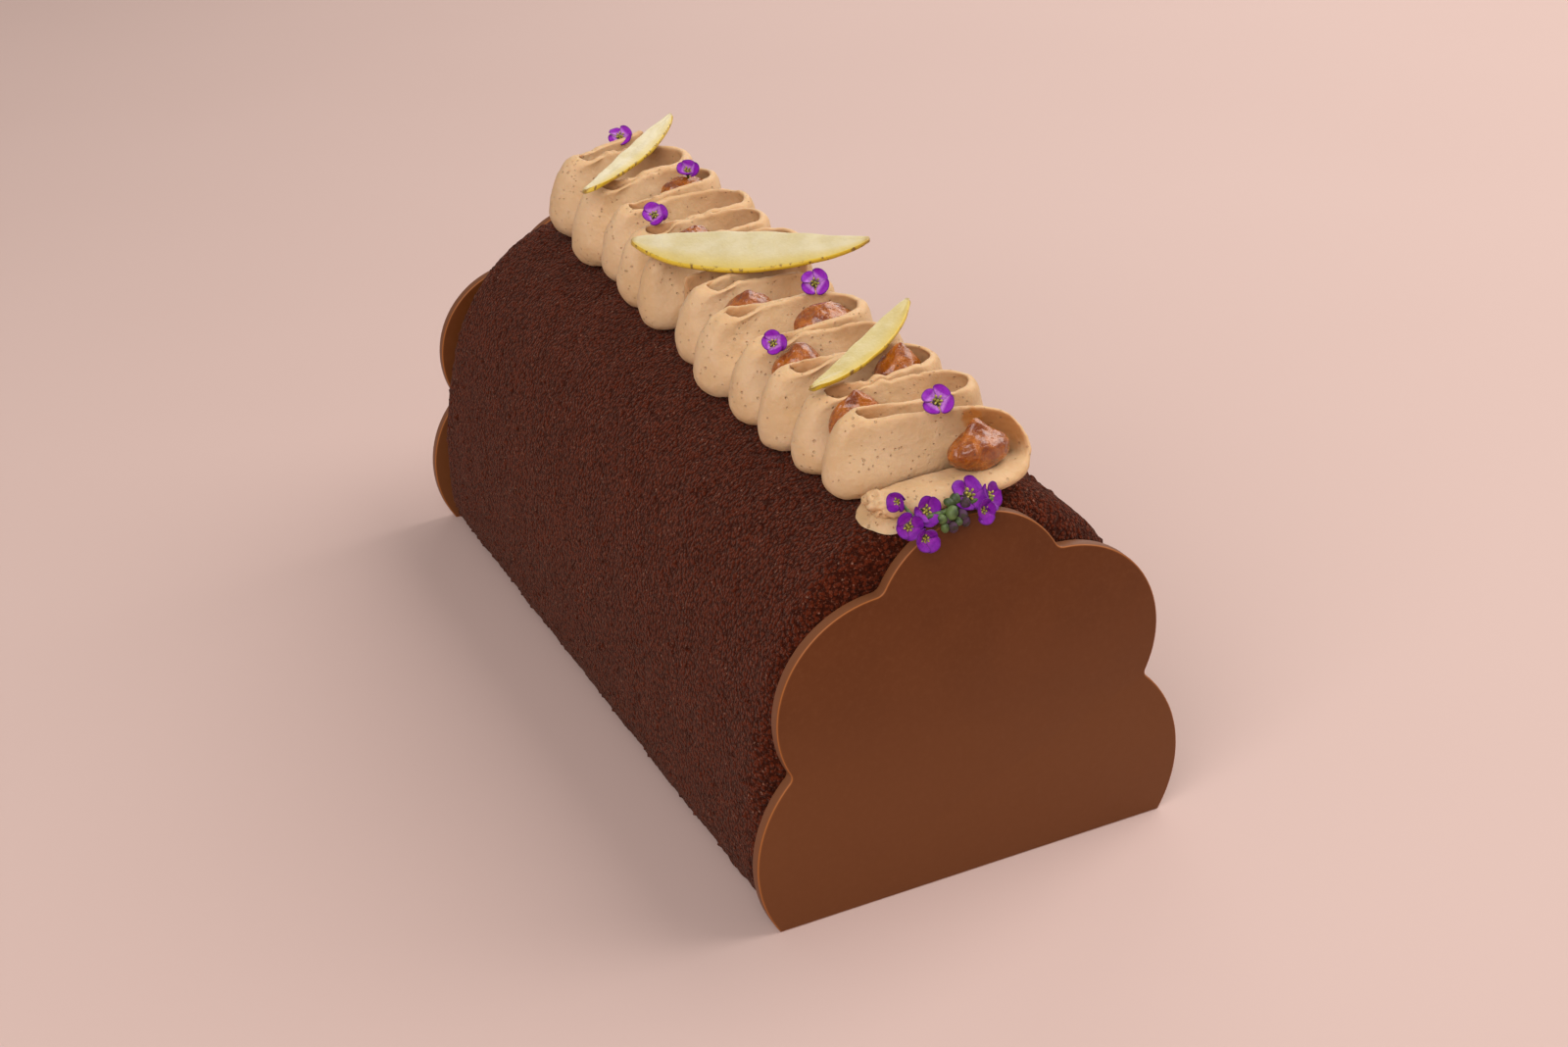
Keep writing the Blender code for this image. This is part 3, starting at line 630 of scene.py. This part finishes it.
def velvet_log():
    """A grid wrapped round the arch and the base, roughened by the spray and closed at its ends."""
    columns = BODY_COLUMNS + BASE_COLUMNS
    log = add(bpy.ops.mesh.primitive_grid_add, x_subdivisions=columns, y_subdivisions=BODY_ROWS, size=2.0)
    outline = even_points(body_outline(), BODY_COLUMNS)
    foot = outline[-1][0]
    outline += [(foot - 2 * foot * (i + 1) / BASE_COLUMNS, 0.0, 0.0, 0.0) for i in range(BASE_COLUMNS)]
    half = BODY_HALF_LENGTH
    for vert in log.data.vertices:
        column = round((vert.co.x + 1) / 2 * columns) % columns
        y, inset = end_rounding((vert.co.y + 1) / 2)
        x, z, out_x, out_z = outline[column]
        if column > BODY_COLUMNS or column == 0:
            vert.co = (x * (foot + inset) / foot, y, 0.0)
            continue
        lean = inset / BODY_FILLET
        end = -1 if y < 0 else 1
        spot = Vector((x - out_x * inset, y, max(z - out_z * inset, 0.0)))
        out = Vector((out_x * (1 - lean), end * lean if inset else 0.0, out_z * (1 - lean))).normalized()
        spot += out * crumb_height(spot) * mix_of(0.4, 1.0, soft_step(spot.z / 2.5))
        if z < 4.0:
            spot.x += (1 if x > 0 else -1) * 0.5 * noise.noise(Vector((spot.y * 0.4, x, 3.0))) * (1 - z / 4)
        far = end * half if lean > 0.99 else min(max(spot.y, -half), half)
        vert.co = (spot.x, far, max(spot.z, 0.0))
    edit_all(log)
    bpy.ops.mesh.remove_doubles(threshold=0.0005)
    bpy.ops.object.mode_set(mode="OBJECT")
    fill_ends(log)
    face_out(log)
    paint(log, chocolate_velvet())
    hand_over(log, "velvet_log", "log_body", 75)


def lobe_arc(lobe, first, last):
    """Points along one right-hand scallop, from its first point to its last."""
    height, middle, radius = lobe
    start, stop = (atan2(z - height, x - middle) for x, z in (first, last))
    steps = max(2, round(abs(stop - start) / LOBE_STEP))
    angles = [start + (stop - start) * i / steps for i in range(steps + 1)]
    return [(middle + radius * cos(a), height + radius * sin(a)) for a in angles]


def crossing(a, b):
    """The outer crossing of two right-hand scallops."""
    (za, xa, ra), (zb, xb, rb) = a, b
    dx, dz = xb - xa, zb - za
    far = hypot(dx, dz)
    reach = (ra * ra - rb * rb + far * far) / (2 * far)
    rise = sqrt(ra * ra - reach * reach)
    x, z = xa + reach * dx / far, za + reach * dz / far
    pair = [(x + rise * dz / far, z - rise * dx / far), (x - rise * dz / far, z + rise * dx / far)]
    return max(pair, key=lambda p: p[0])


def valley(lower, upper, radius):
    """The small hollow between two right-hand scallops, from the lower one to the upper one."""
    (za, xa, ra), (zb, xb, rb) = lower, upper
    x, z = crossing((za, xa, ra + radius), (zb, xb, rb + radius))
    start, stop = (atan2(height - z, middle - x) % (2 * pi) for height, middle, _ in (lower, upper))
    angles = [start + (stop - start) * i / VALLEY_STEPS for i in range(VALLEY_STEPS + 1)]
    return [(x + radius * cos(a), z + radius * sin(a)) for a in angles]


def plaque_outline():
    """Five scallops over a flat bottom."""
    lower = valley(LOWER_LOBE, UPPER_LOBE, LOWER_VALLEY)
    upper = valley(UPPER_LOBE, TOP_LOBE, UPPER_VALLEY)
    corner = (LOWER_LOBE[1] + sqrt(LOWER_LOBE[2] ** 2 - LOWER_LOBE[0] ** 2), 0.0)
    crown = (0.0, TOP_LOBE[0] + TOP_LOBE[2])
    right = lobe_arc(LOWER_LOBE, corner, lower[0]) + lower[1:-1]
    right += lobe_arc(UPPER_LOBE, lower[-1], upper[0]) + upper[1:-1]
    right += lobe_arc(TOP_LOBE, upper[-1], crown)
    return right + [(-x, z) for x, z in reversed(right[:-1])]


def scalloped_plaque(name, node, middle, chocolate):
    """A disc drawn out to the scallops, extruded to its thickness, with rounded rims. Its rim tone, a
    painted highlight along the rims, is 0 on the flat faces; its side tone carries painted light on the
    side band."""
    outline = plaque_outline()
    plaque = add(bpy.ops.mesh.primitive_circle_add, vertices=len(outline), radius=1.0, fill_type="NGON")
    half = PLAQUE_THICKNESS / 2
    for vert, (x, z) in zip(plaque.data.vertices, outline):
        vert.co = (x, middle - half, z)
    edit_all(plaque)
    bpy.ops.mesh.extrude_region_move(TRANSFORM_OT_translate={"value": (0.0, PLAQUE_THICKNESS, 0.0)})
    bpy.ops.mesh.select_all(action="SELECT")
    bpy.ops.mesh.normals_make_consistent(inside=False)
    bpy.ops.mesh.select_mode(type="EDGE")
    bpy.ops.mesh.select_all(action="DESELECT")
    bm = bmesh.from_edit_mesh(plaque.data)
    for edge in bm.edges:
        a, b = edge.verts
        edge.select_set(abs(a.co.y - b.co.y) < half)
    bmesh.update_edit_mesh(plaque.data)
    bpy.ops.mesh.bevel(offset=PLAQUE_EDGE, segments=4, profile=0.5, offset_type="OFFSET")
    bpy.ops.object.mode_set(mode="OBJECT")
    face = [abs(v.co.y - middle) for v in plaque.data.vertices]
    reach = PLAQUE_EDGE * 0.35
    # rim: a painted highlight along the rims; side: painted light on the side band
    tones(plaque, "rim", [soft_step(1 - abs(half - f - reach) / reach) for f in face])
    tones(plaque, "side", [soft_step((half - f) / PLAQUE_EDGE) for f in face])
    face_out(plaque)
    paint(plaque, chocolate)
    hand_over(plaque, name, node, 40)


def half_thickness(base, level):
    return max(base * curve_at(THICKNESS, level), RIM_HALF * soft_step((level - RIM_LEVEL) / 0.15))


def spacing(folds, i):
    """Distance along the log from the fold before to the fold after."""
    y = folds[i][1]
    before = folds[i - 1][1] if i else 2 * y - folds[i + 1][1]
    after = folds[i + 1][1] if i + 1 < len(folds) else 2 * y - folds[i - 1][1]
    return before - after


def crossing_pass(lobe, cup, t, level, half):
    """Place of a pass at share t of the way from a left lobe to a right cup: the two walls of the lobe
    leave a slit, then press together, then part into the cups."""
    _, lobe_y, lobe_x, lobe_radius = lobe[:4]
    _, cup_y, cup_x, cup_radius = cup[:4]
    side = 1 if cup_y > lobe_y else -1
    pressed = half * mix_of(1.0, PRESS, level)
    near = pressed + (lobe_radius - pressed) * (1 - soft_step((t - 0.08) / SLIT_SHARE))
    far = abs(cup_y - lobe_y) - cup_radius
    spread = soft_step((t - 0.34) / 0.66)
    return lobe_x + (cup_x - lobe_x) * t, lobe_y + side * mix_of(near, far, spread)


def fold_levels(folds, start, end, level):
    """Points of a ribbon's middle surface at one level: (x, distance, height of the rim, half base,
    shade). The shade says how much painted shade lies inside the fold, and its sign on which side that
    lies."""
    points = []
    marks = []
    for i, (side, y, reach, top) in enumerate(folds):
        base = spacing(folds, i) / 4 - BASE_SQUEEZE
        half = half_thickness(base, level)
        if side == LEFT:
            radius = half + LOBE_AIR + SLIT * level ** 3
            bulge = LEFT_BULGE
        else:
            radius = spacing(folds, i) / 2 - half - TROUGH_AIR
            bulge = RIGHT_BULGE
        outer = reach + side * bulge * curve_at(SWELL, level)
        marks.append((side, y, outer - side * (radius + half * 0.4), radius, top, base, half))
    side, y, middle, radius, top, base = marks[0][:6]
    for i in range(PASS_STEPS + 1):
        t = i / (PASS_STEPS + 1)
        points.append((mix_of(start[0], middle, t), mix_of(start[1], y + radius, t),
                       mix_of(start[2], top, t), base * START_BASE, -0.8 * (1 - soft_step(t / 0.15))))
    for i, (side, y, middle, radius, top, base, half) in enumerate(marks):
        shade = side if side == LEFT else CUP_SHADE
        for j in range(ARC_STEPS + 1):
            turn = pi / 2 - pi * j / ARC_STEPS
            dip = SLIT_DIP * soft_step(j / ARC_STEPS - 0.3) if side == LEFT else 0.0
            points.append((middle + side * radius * cos(turn), y + radius * sin(turn), top - dip, base,
                           shade))
        if i + 1 < len(marks):
            other = marks[i + 1]
            for j in range(1, PASS_STEPS + 1):
                t = j / (PASS_STEPS + 1)
                far = t if side == LEFT else 1 - t
                dip = 0.0
                if side == LEFT:
                    x, at = crossing_pass(marks[i], other, t, level, half)
                    dip = SLIT_DIP * soft_step(0.7) * (1 - soft_step(t / 0.48))
                else:
                    x, at = crossing_pass(other, marks[i], 1 - t, level, other[6])
                shade = CUP_SHADE * soft_step((far - 0.6) / 0.3) - (1 - soft_step((far - 0.2) / 0.25))
                points.append((x, at, mix_of(top, other[4], soft_step(t)) - dip,
                               mix_of(base, other[5], t), shade))
    if end:
        count = PASS_STEPS + 3
        for j in range(1, count + 1):
            t = j / count
            points.append((mix_of(middle, end[0], t), mix_of(y - radius, end[1], t), mix_of(top, end[2], t),
                           base * (1 - END_THINNING * t), -0.7 * soft_step((t - 0.7) / 0.2)))
    return points


def spline_through(points, steps):
    """A smooth curve through vectors, leaving out the first point."""
    result = []
    for i in range(len(points) - 1):
        p0 = points[max(i - 1, 0)]
        p1, p2 = points[i], points[i + 1]
        p3 = points[min(i + 2, len(points) - 1)]
        for j in range(1, steps + 1):
            t = j / steps
            result.append(0.5 * (2 * p1 + (p2 - p0) * t + (2 * p0 - 5 * p1 + 4 * p2 - p3) * t * t
                                 + (3 * p1 - p0 - 3 * p2 + p3) * t ** 3))
    return result


def torn(x, y):
    """How far the rim is torn or wavy at a place: slow waves and, in stretches, small teeth."""
    wave = 0.35 * noise.noise(Vector((x * 0.16, y * 0.22, 5.0)))
    rough = soft_step(noise.noise(Vector((x * 0.10, y * 0.13, 9.0))) * 4 + 0.6)
    teeth = 0.8 * noise.noise(Vector((x * 0.5, y * 0.5, 2.0)))
    teeth += 0.4 * noise.noise(Vector((x * 1.1, y * 1.1, 7.0)))
    return wave + teeth * rough


def ribbon_grid(folds, start, end, cup, levels):
    """The ribbon's middle surface, half thickness and shade, level by level."""
    grid = []
    thick = []
    for level in levels:
        middle = []
        half = []
        shades = []
        for x, y, top, base, shade in fold_levels(folds, start, end, level):
            low = body_surface(x, y) + GAP
            middle.append(Vector((x, y, mix_of(low, top + torn(x, y), level))))
            half.append(half_thickness(base, level))
            shades.append(shade)
        if cup:
            knots = [Vector(b).lerp(Vector(t), level) for b, t in cup]
            turned = spline_through([middle[-1]] + knots, CUP_STEPS)
            middle += turned
            for i in range(len(turned)):
                far = i / CUP_STEPS
                base = CUP_HALF + CUP_HALF_MORE * max(1.0 - far / CUP_EASE, 0.0)
                roll = soft_step((far - 3.5) / 1.5)
                round_half = ROLL * sqrt(max(1 - (2 * level - 1) ** 2, 0.0))
                shape = mix_of(curve_at(THICKNESS, level), round_half, roll)
                last = (len(turned) - 1 - i) / CUP_STEPS
                taper = sqrt(max(1 - (1 - min(last / 0.8, 1.0)) ** 2, 0.02))
                half.append(max(base * shape, RIM_HALF * 0.9) * taper)
                # painted shade inside the front cup, partly standing for its caramel staining
                shades.append(FRONT_CUP_SHADE * soft_step((far - 0.8) / 1.4) * soft_step((4.6 - far) / 1.4))
        grid.append(middle)
        thick.append(half)
    return grid, thick, shades


def cream_ribbon(name, node, folds, start, end, cup, cream):
    """A ribbon of cream, fat at its base and thin at its torn rim, folded to and fro across the log."""
    levels = [(1 - cos(pi * i / (RIBBON_LEVELS - 1))) / 2 for i in range(RIBBON_LEVELS)]
    grid, thick, shades = ribbon_grid(folds, start, end, cup, levels)
    steps = len(shades)
    upright = steps - len(cup) * CUP_STEPS
    count = len(levels)
    up, down = range(1, count - 1), range(count - 2, 0, -1)
    loop = [(0, 0)] + [(k, 1) for k in up] + [(count - 1, 0)] + [(k, -1) for k in down]
    bm = bmesh.new()
    rim = bm.verts.layers.float.new("rim")
    hollow = bm.verts.layers.float.new("hollow")
    rings = []
    for i in range(steps):
        rise = grid[-1][i] - grid[0][i]
        ring = []
        for k, side in loop:
            flow = grid[k][min(i + 1, steps - 1)] - grid[k][max(i - 1, 0)]
            normal = Vector((flow.y, -flow.x, 0.0)) if i < upright else flow.cross(rise)
            point = grid[k][i] + side * thick[k][i] * normal.normalized()
            floor = body_surface(point.x, point.y) + GAP * 0.5
            vert = bm.verts.new((point.x, along(point.y), max(point.z, floor)))
            # rim: painted light through the thin rim; hollow: painted shade inside the folds
            vert[rim] = soft_step((levels[k] - 0.85) / 0.15)
            vert[hollow] = max(side * shades[i], 0.0) * soft_step((levels[k] - 0.3) / 0.5)
            ring.append(vert)
        rings.append(ring)
    for a, b in zip(rings, rings[1:]):
        for k in range(len(loop)):
            n = (k + 1) % len(loop)
            bm.faces.new((a[k], a[n], b[n], b[k]))
    bm.faces.new(rings[0][::-1])
    bm.faces.new(rings[-1])
    mesh = bpy.data.meshes.new(name)
    bm.to_mesh(mesh)
    bm.free()
    ribbon = new_object(name, mesh)
    modify(ribbon, "SUBSURF", levels=1, render_levels=1)
    if cup:
        ribbon = join([ribbon, ribbon_foot()])
    face_out(ribbon)
    stain = []
    facing = [vert.normal.copy() for vert in ribbon.data.vertices]
    for vert, out in zip(ribbon.data.vertices, facing):
        far = vert.co.y + LOG_LENGTH / 2
        swell = 0.26 * noise.noise(vert.co * 0.3) + 0.09 * noise.noise(vert.co * 1.1)
        if cup:
            broken = soft_step((-10 - vert.co.x) / 3) * soft_step((14 - far) / 3)
            broken *= soft_step(vert.co.z - 74.6)
            swell += broken * (0.9 * noise.noise(vert.co * 0.6) + 0.6 * noise.noise(vert.co * 1.4))
        spot = vert.co + out * swell
        floor = body_surface(spot.x, far) + 0.1
        vert.co = (spot.x, spot.y, max(spot.z, floor))
        near = (Vector((spot.x, far, spot.z)) - Vector(STAIN)).length if cup else 99.0
        stain.append(soft_step(1.2 - near / STAIN_REACH + 0.5 * noise.noise(vert.co * 0.7)))
    tones(ribbon, "stain", stain)
    paint(ribbon, cream)
    hand_over(ribbon, name, node, 75)


def ribbon_foot():
    """The first smear of cream under the ribbon's end: a thin round-edged sheet lying on the log."""
    foot = add(bpy.ops.mesh.primitive_uv_sphere_add, segments=64, ring_count=16, radius=1.0)
    for vert in foot.data.vertices:
        px, py, pz = vert.co
        x, y = FOOT_MIDDLE[0] + px * FOOT_HALF[0], FOOT_MIDDLE[1] + py * FOOT_HALF[1]
        vert.co = (x, along(y), body_surface(x, y) + FOOT_LIFT + pz * FOOT_HALF[2])
    for name in ("rim", "hollow"):
        tones(foot, name, [0.0] * len(foot.data.vertices))
    return foot


def trough_half_width(folds, distance, z):
    """Half the free width at height z inside the right-hand fold nearest to a distance."""
    inner = range(1, len(folds) - 1)
    i = min((k for k in inner if folds[k][0] == RIGHT), key=lambda k: abs(folds[k][1] - distance))
    low = body_surface(0.0, folds[i][1]) + GAP
    level = min(max((z - low) / (folds[i][3] - low), 0.0), 1.0)
    half = half_thickness(spacing(folds, i) / 4 - BASE_SQUEEZE, level)
    return spacing(folds, i) / 2 - 2 * half - SLIT * level ** 3 - TROUGH_AIR


def caramel_dot(number, dot, folds, glaze):
    """A drop of caramel drawn up to a peak, lumpy and creased, squeezed by the cream on each side."""
    x, y, z, long, wide, high = dot
    drop = add(bpy.ops.mesh.primitive_ico_sphere_add, subdivisions=6, radius=1.0)
    lean = Vector((0.35 * sin(number * 2.1), 0.3 * cos(number * 1.7), 0.0))
    seed = Vector((number * 13.0, 0.0, 0.0))
    for vert in drop.data.vertices:
        px, py, pz = vert.co
        top = max(pz, 0.0)
        peak = exp(-((px * px + py * py) / 0.17)) * top
        height = z + pz * high + DOT_PEAKS[number - 1] * peak
        room = max(trough_half_width(folds, y, height) - DOT_AIR, 0.3) if folds else wide
        taper = 1.0 - 0.25 * top * top + 0.1 * max(-pz, 0.0)
        spot = Vector((x + px * long * taper, along(y) + py * min(wide, room) * taper, height))
        spot += lean * peak * 2.0
        crease = noise.noise(vert.co * 1.4 + seed) * 0.7 + noise.noise(vert.co * 3.4 + seed) * 0.3
        out = Vector((px * 1.3, py * 0.5, pz)).normalized()
        vert.co = spot + out * crease * mix_of(0.5, 1.0, top)
    face_out(drop)
    paint(drop, glaze)
    hand_over(drop, f"caramel_{number}", f"caramel_dot_{number}", 180)


def pear_slice(number, tips, width, thickness, lean, sag, flesh):
    """A crescent of pear: a wavering cut edge, a bowed skin edge and two fine tips."""
    start, stop = (Vector((t[0], along(t[1]), t[2])) for t in tips)
    run = stop - start
    across = Vector((run.y, -run.x, 0.0)).normalized()
    if across.y > 0:
        across = -across
    across = across * cos(radians(lean)) - Vector((0.0, 0.0, sin(radians(lean))))
    piece = add(bpy.ops.mesh.primitive_grid_add, x_subdivisions=96, y_subdivisions=18, size=2.0)
    seed = Vector((0.0, 0.0, number * 7.0))
    skins = []
    ends = []
    for vert in piece.data.vertices:
        u, v = vert.co.x, vert.co.y
        bow = max(1 - u * u, 0.0)
        waver = 0.09 * width * noise.noise(Vector((u * 3.2, 0.0, 0.0)) + seed) * bow
        skin = SKIN_SHARE * width * bow ** SKIN_POWER + SLICE_TIP * 0.6
        cut = -CUT_SHARE * width * bow ** CUT_POWER * (CUT_LEAN - 0.4 * u) - SLICE_TIP * 0.6 + waver
        share = (v + 1) / 2
        offset = mix_of(cut, skin, share)
        ripple = 0.22 * noise.noise(Vector((u * 4.0, v * 1.5, 4.0)) + seed)
        vert.co = start + run * (u + 1) / 2 + across * offset - Vector((0.0, 0.0, sag * bow - ripple))
        skins.append(share)
        ends.append(soft_step((abs(u) - 0.93) / 0.07))
    tones(piece, "skin", skins)
    tones(piece, "tip", ends)
    # painted light on the flesh, slice by slice
    tones(piece, "pale", [LIT_FLESH[number - 1]] * len(ends))
    modify(piece, "SOLIDIFY", thickness=thickness * 0.72, offset=0.0, use_even_offset=False)
    modify(piece, "SUBSURF", levels=1, render_levels=1)
    face_out(piece)
    paint(piece, flesh)
    hand_over(piece, f"pear_{number}", f"pear_slice_{number}", 70)


def petal_shape():
    """A broad round cupped petal on a narrow claw, reaching out along +X."""
    leaf = add(bpy.ops.mesh.primitive_grid_add, x_subdivisions=PETAL_STEPS,
               y_subdivisions=PETAL_STEPS, size=2.0)
    reach = []
    edge = []
    for vert in leaf.data.vertices:
        u, v = vert.co.x, vert.co.y
        x = u * sqrt(1 - v * v / 2)
        y = v * sqrt(1 - u * u / 2)
        far = (x + 1) / 2
        narrow = mix_of(0.35, 1.0, soft_step(far / 0.55))
        out = FLOWER_RADIUS * mix_of(0.12, 1.0, far)
        height = 0.9 * far - 0.35 * far ** 3 + 0.35 * y * y * narrow + PETAL_TILT * y * narrow
        vert.co = (out, y * narrow * FLOWER_RADIUS * 0.56, height)
        reach.append(far)
        edge.append(hypot(x, y))
    tones(leaf, "reach", reach)
    tones(leaf, "edge", edge)
    modify(leaf, "SOLIDIFY", thickness=0.2, offset=0.0)
    return leaf


def copy_of(piece, place=(0, 0, 0), turn=(0, 0, 0), size=(1, 1, 1)):
    """A copy of a piece with a mesh of its own, turned, sized and placed."""
    made = new_object(piece.name, piece.data.copy())
    made.data.transform(Matrix.LocRotScale(Vector(place), Euler(turn), Vector(size)))
    return made


def stalk(route, radius, materials, index):
    """A thin round stem through a few points."""
    curve = bpy.data.curves.new("stalk", "CURVE")
    curve.dimensions = "3D"
    curve.bevel_depth = radius
    curve.bevel_resolution = 2
    curve.use_fill_caps = True
    spline = curve.splines.new("POLY")
    spline.points.add(len(route) - 1)
    for point, place in zip(spline.points, route):
        point.co = (*place, 1.0)
    choose(new_object("stalk", curve))
    bpy.ops.object.convert(target="MESH")
    made = bpy.context.object
    colour_part(made, materials, index)
    return made


def colour_part(obj, materials, index):
    paint(obj, *materials)
    obj.data.polygons.foreach_set("material_index", [index] * len(obj.data.polygons))


def flower_shape(materials, seed, shut):
    """Four petals round a throat with a green pistil and six stamens; shut closes the petals together."""
    leaf = petal_shape()
    colour_part(leaf, materials, 0)
    bead = add(bpy.ops.mesh.primitive_ico_sphere_add, subdivisions=2, radius=1.0)
    pieces = []
    for i in range(4):
        turn = pi / 2 * i + 0.14 * sin(seed + i * 2.3)
        rise = -shut - 0.12 * sin(seed * 1.7 + i * 1.9)
        wide = 1.0 + 0.1 * sin(seed * 2.9 + i)
        pieces.append(copy_of(leaf, (0, 0, 0.04 * i), (0, rise, turn), (wide, 1.0, 1.0)))
    for height, size, index in ((0.25, (0.95, 0.95, 0.22), SHADE), (0.6, (0.36, 0.36, 0.5), THROAT),
                                (-0.35, (0.6, 0.6, 0.7), STEM)):
        dot = copy_of(bead, (0, 0, height), size=size)
        colour_part(dot, materials, index)
        pieces.append(dot)
    for i in range(6):
        turn = pi / 3 * i + seed
        far = 0.72 + 0.14 * sin(seed + i * 2.7)
        place = (far * cos(turn), far * sin(turn), 0.95 + 0.12 * sin(i * 1.3 + seed))
        dot = copy_of(bead, place, (0.4 * sin(i), 0.4 * cos(i), turn), (0.3, 0.2, 0.22))
        colour_part(dot, materials, STAMEN)
        pieces.append(dot)
        pieces.append(stalk([(0.25 * cos(turn), 0.25 * sin(turn), 0.2), place], 0.08, materials, THROAT))
    pieces.append(stalk(FLOWER_STEM, 0.32, materials, STEM))
    bpy.data.objects.remove(leaf)
    bpy.data.objects.remove(bead)
    shape = join(pieces)
    for vert in shape.data.vertices:
        wave = 0.3 * noise.noise(vert.co * 0.8 + Vector((seed, 0, 0)))
        vert.co.z += wave * hypot(vert.co.x, vert.co.y) / 3
    return shape


def placed_flower(shape, spot):
    """A copy of a flower, leaned and placed."""
    x, y, z, lean_x, lean_y, turn, size = spot
    made = copy_of(shape, size=(size, size, size))
    lean = Euler((radians(lean_x), radians(lean_y), 0)).to_matrix()
    spin = Euler((0, 0, radians(turn))).to_matrix()
    made.data.transform(Matrix.Translation((x, along(y), z)) @ (lean @ spin).to_4x4())
    return made


def sprig(shapes, materials):
    """A head of flowers and buds on one stem."""
    pieces = []
    bead = add(bpy.ops.mesh.primitive_ico_sphere_add, subdivisions=3, radius=1.0)
    for i, spot in enumerate(SPRIG_FLOWERS):
        pieces.append(placed_flower(shapes[SPRIG_SHAPES[i]], spot))
        nearest = min(SPRIG_STEM, key=lambda p: hypot(p[0] - spot[0], p[1] - spot[1]))
        pieces.append(stalk([(p[0], along(p[1]), p[2]) for p in (nearest, spot)], 0.32, materials, STEM))
    pieces.append(stalk([(x, along(y), z) for x, y, z in SPRIG_STEM], 0.55, materials, STEM))
    for i, (x, y, z, radius) in enumerate(SPRIG_BUDS):
        size = radius * 0.92
        bud = copy_of(bead, (x, along(y), z), (0.3 * i, 0.2, i), (size * 0.85, size * 0.85, size * 1.1))
        colour_part(bud, materials, SHADE if i % 2 else STEM)
        pieces.append(bud)
    bpy.data.objects.remove(bead)
    return join(pieces)


def ground():
    """A wide pale floor."""
    floor = add(bpy.ops.mesh.primitive_plane_add, size=6.0, location=(0.0, 1.2, 0.0))
    floor.name = "floor"
    settle(floor)
    paint(floor, floor_paint())


def lamp(name, place, target, size, power, colour):
    """A soft rectangular lamp aimed at a point, in metres and watts."""
    data = bpy.data.lights.new(name, "AREA")
    data.shape = "RECTANGLE"
    data.size, data.size_y = size
    data.energy = power
    data.color = colour
    obj = new_object(name, data)
    obj.location = place
    aim = Vector(target) - Vector(place)
    obj.rotation_euler = aim.to_track_quat("-Z", "Y").to_euler()


def light_and_camera():
    scene = bpy.context.scene
    scene.view_settings.view_transform = "Standard"
    world = bpy.data.worlds.new("studio")
    world.use_nodes = True
    sky = world.node_tree.nodes["Background"]
    sky.inputs["Color"].default_value = SKY_COLOUR
    sky.inputs["Strength"].default_value = SKY_STRENGTH
    scene.world = world
    lamp("window", (0.8, -0.1, 0.9), (0.0, 0.0, 0.05), (1.0, 1.0), 11.6, (1.0, 0.98, 0.96))
    lamp("reflector", (-0.75, -0.75, 0.85), (0.0, 0.0, 0.05), (1.1, 0.9), 12.0, (1.0, 0.97, 0.97))
    lamp("back window", (0.6, 0.9, 0.42), (0.0, 0.0, 0.07), (0.7, 0.5), 2.2, (1.0, 0.98, 0.96))
    camera = bpy.data.cameras.new("camera")
    camera.lens = LENS
    scene.camera = new_object("camera", camera)
    down, yaw = CAMERA_DOWN, CAMERA_YAW
    forward = Vector((sin(yaw) * cos(down), cos(yaw) * cos(down), -sin(down)))
    turn = forward.to_track_quat("-Z", "Y").to_matrix() @ Matrix.Rotation(CAMERA_ROLL, 3, "Z")
    scene.camera.matrix_world = Matrix.Translation(CAMERA_PLACE) @ turn.to_4x4()


def flowers():
    """Single flowers and the sprig."""
    bloom = [petal("petal", (0.25, 0.003, 0.38), (0.50, 0.17, 0.60)),
             plain("flower_throat", (0.16, 0.15, 0.012), (0.34, 0.31, 0.03), 0.4, 0.5),
             plain("flower_stem", (0.035, 0.055, 0.012), (0.10, 0.15, 0.035), 1.2, 0.5),
             plain("stamen", (0.52, 0.46, 0.06), (0.22, 0.16, 0.02), 0.3, 0.6),
             plain("flower_shade", (0.030, 0.018, 0.008), (0.07, 0.02, 0.06), 0.6, 0.7)]
    deep = petal("petal_deep", (0.19, 0.0005, 0.31), (0.27, 0.015, 0.37))
    shapes = [flower_shape(bloom, 1.0, 0.0), flower_shape(bloom, 3.3, 0.25), flower_shape(bloom, 5.9, 0.5)]
    for i, spot in enumerate(FLOWERS):
        flower = placed_flower(shapes[FLOWER_SHAPES[i]], spot)
        hand_over(flower, f"bloom_{i + 1}", f"flower_{i + 1}")
    for shape in shapes:
        shape.data.materials[0] = deep
    hand_over(sprig(shapes, [deep] + bloom[1:]), "bloom_sprig", "flower_sprig")
    for shape in shapes:
        bpy.data.objects.remove(shape)


def main():
    light_and_camera()
    flowers()
    ground()
    velvet_log()
    chocolate = milk_chocolate()
    inset = (LOG_LENGTH - PLAQUE_THICKNESS) / 2
    scalloped_plaque("front_plaque", "end_plaque_front", -inset, chocolate)
    scalloped_plaque("back_plaque", "end_plaque_back", inset, chocolate)
    cream = whipped_cream()
    cream_ribbon("back_ribbon", "cream_run_back", BACK_RUN, BACK_START, BACK_END, [], cream)
    cream_ribbon("front_ribbon", "cream_run_front", FRONT_RUN, FRONT_START, None, CUP, cream)
    glaze = caramel()
    dots = [(d, FRONT_RUN) for d in FRONT_DOTS] + [(d, BACK_RUN) for d in BACK_DOTS] + [(CUP_DOT, None)]
    for i, (dot, folds) in enumerate(dots):
        caramel_dot(i + 1, dot, folds, glaze)
    flesh = pear()
    for i, (start, stop, width, thickness, lean, sag) in enumerate(PEAR_SLICES):
        pear_slice(i + 1, (start, stop), width, thickness, lean, sag, flesh)


main()
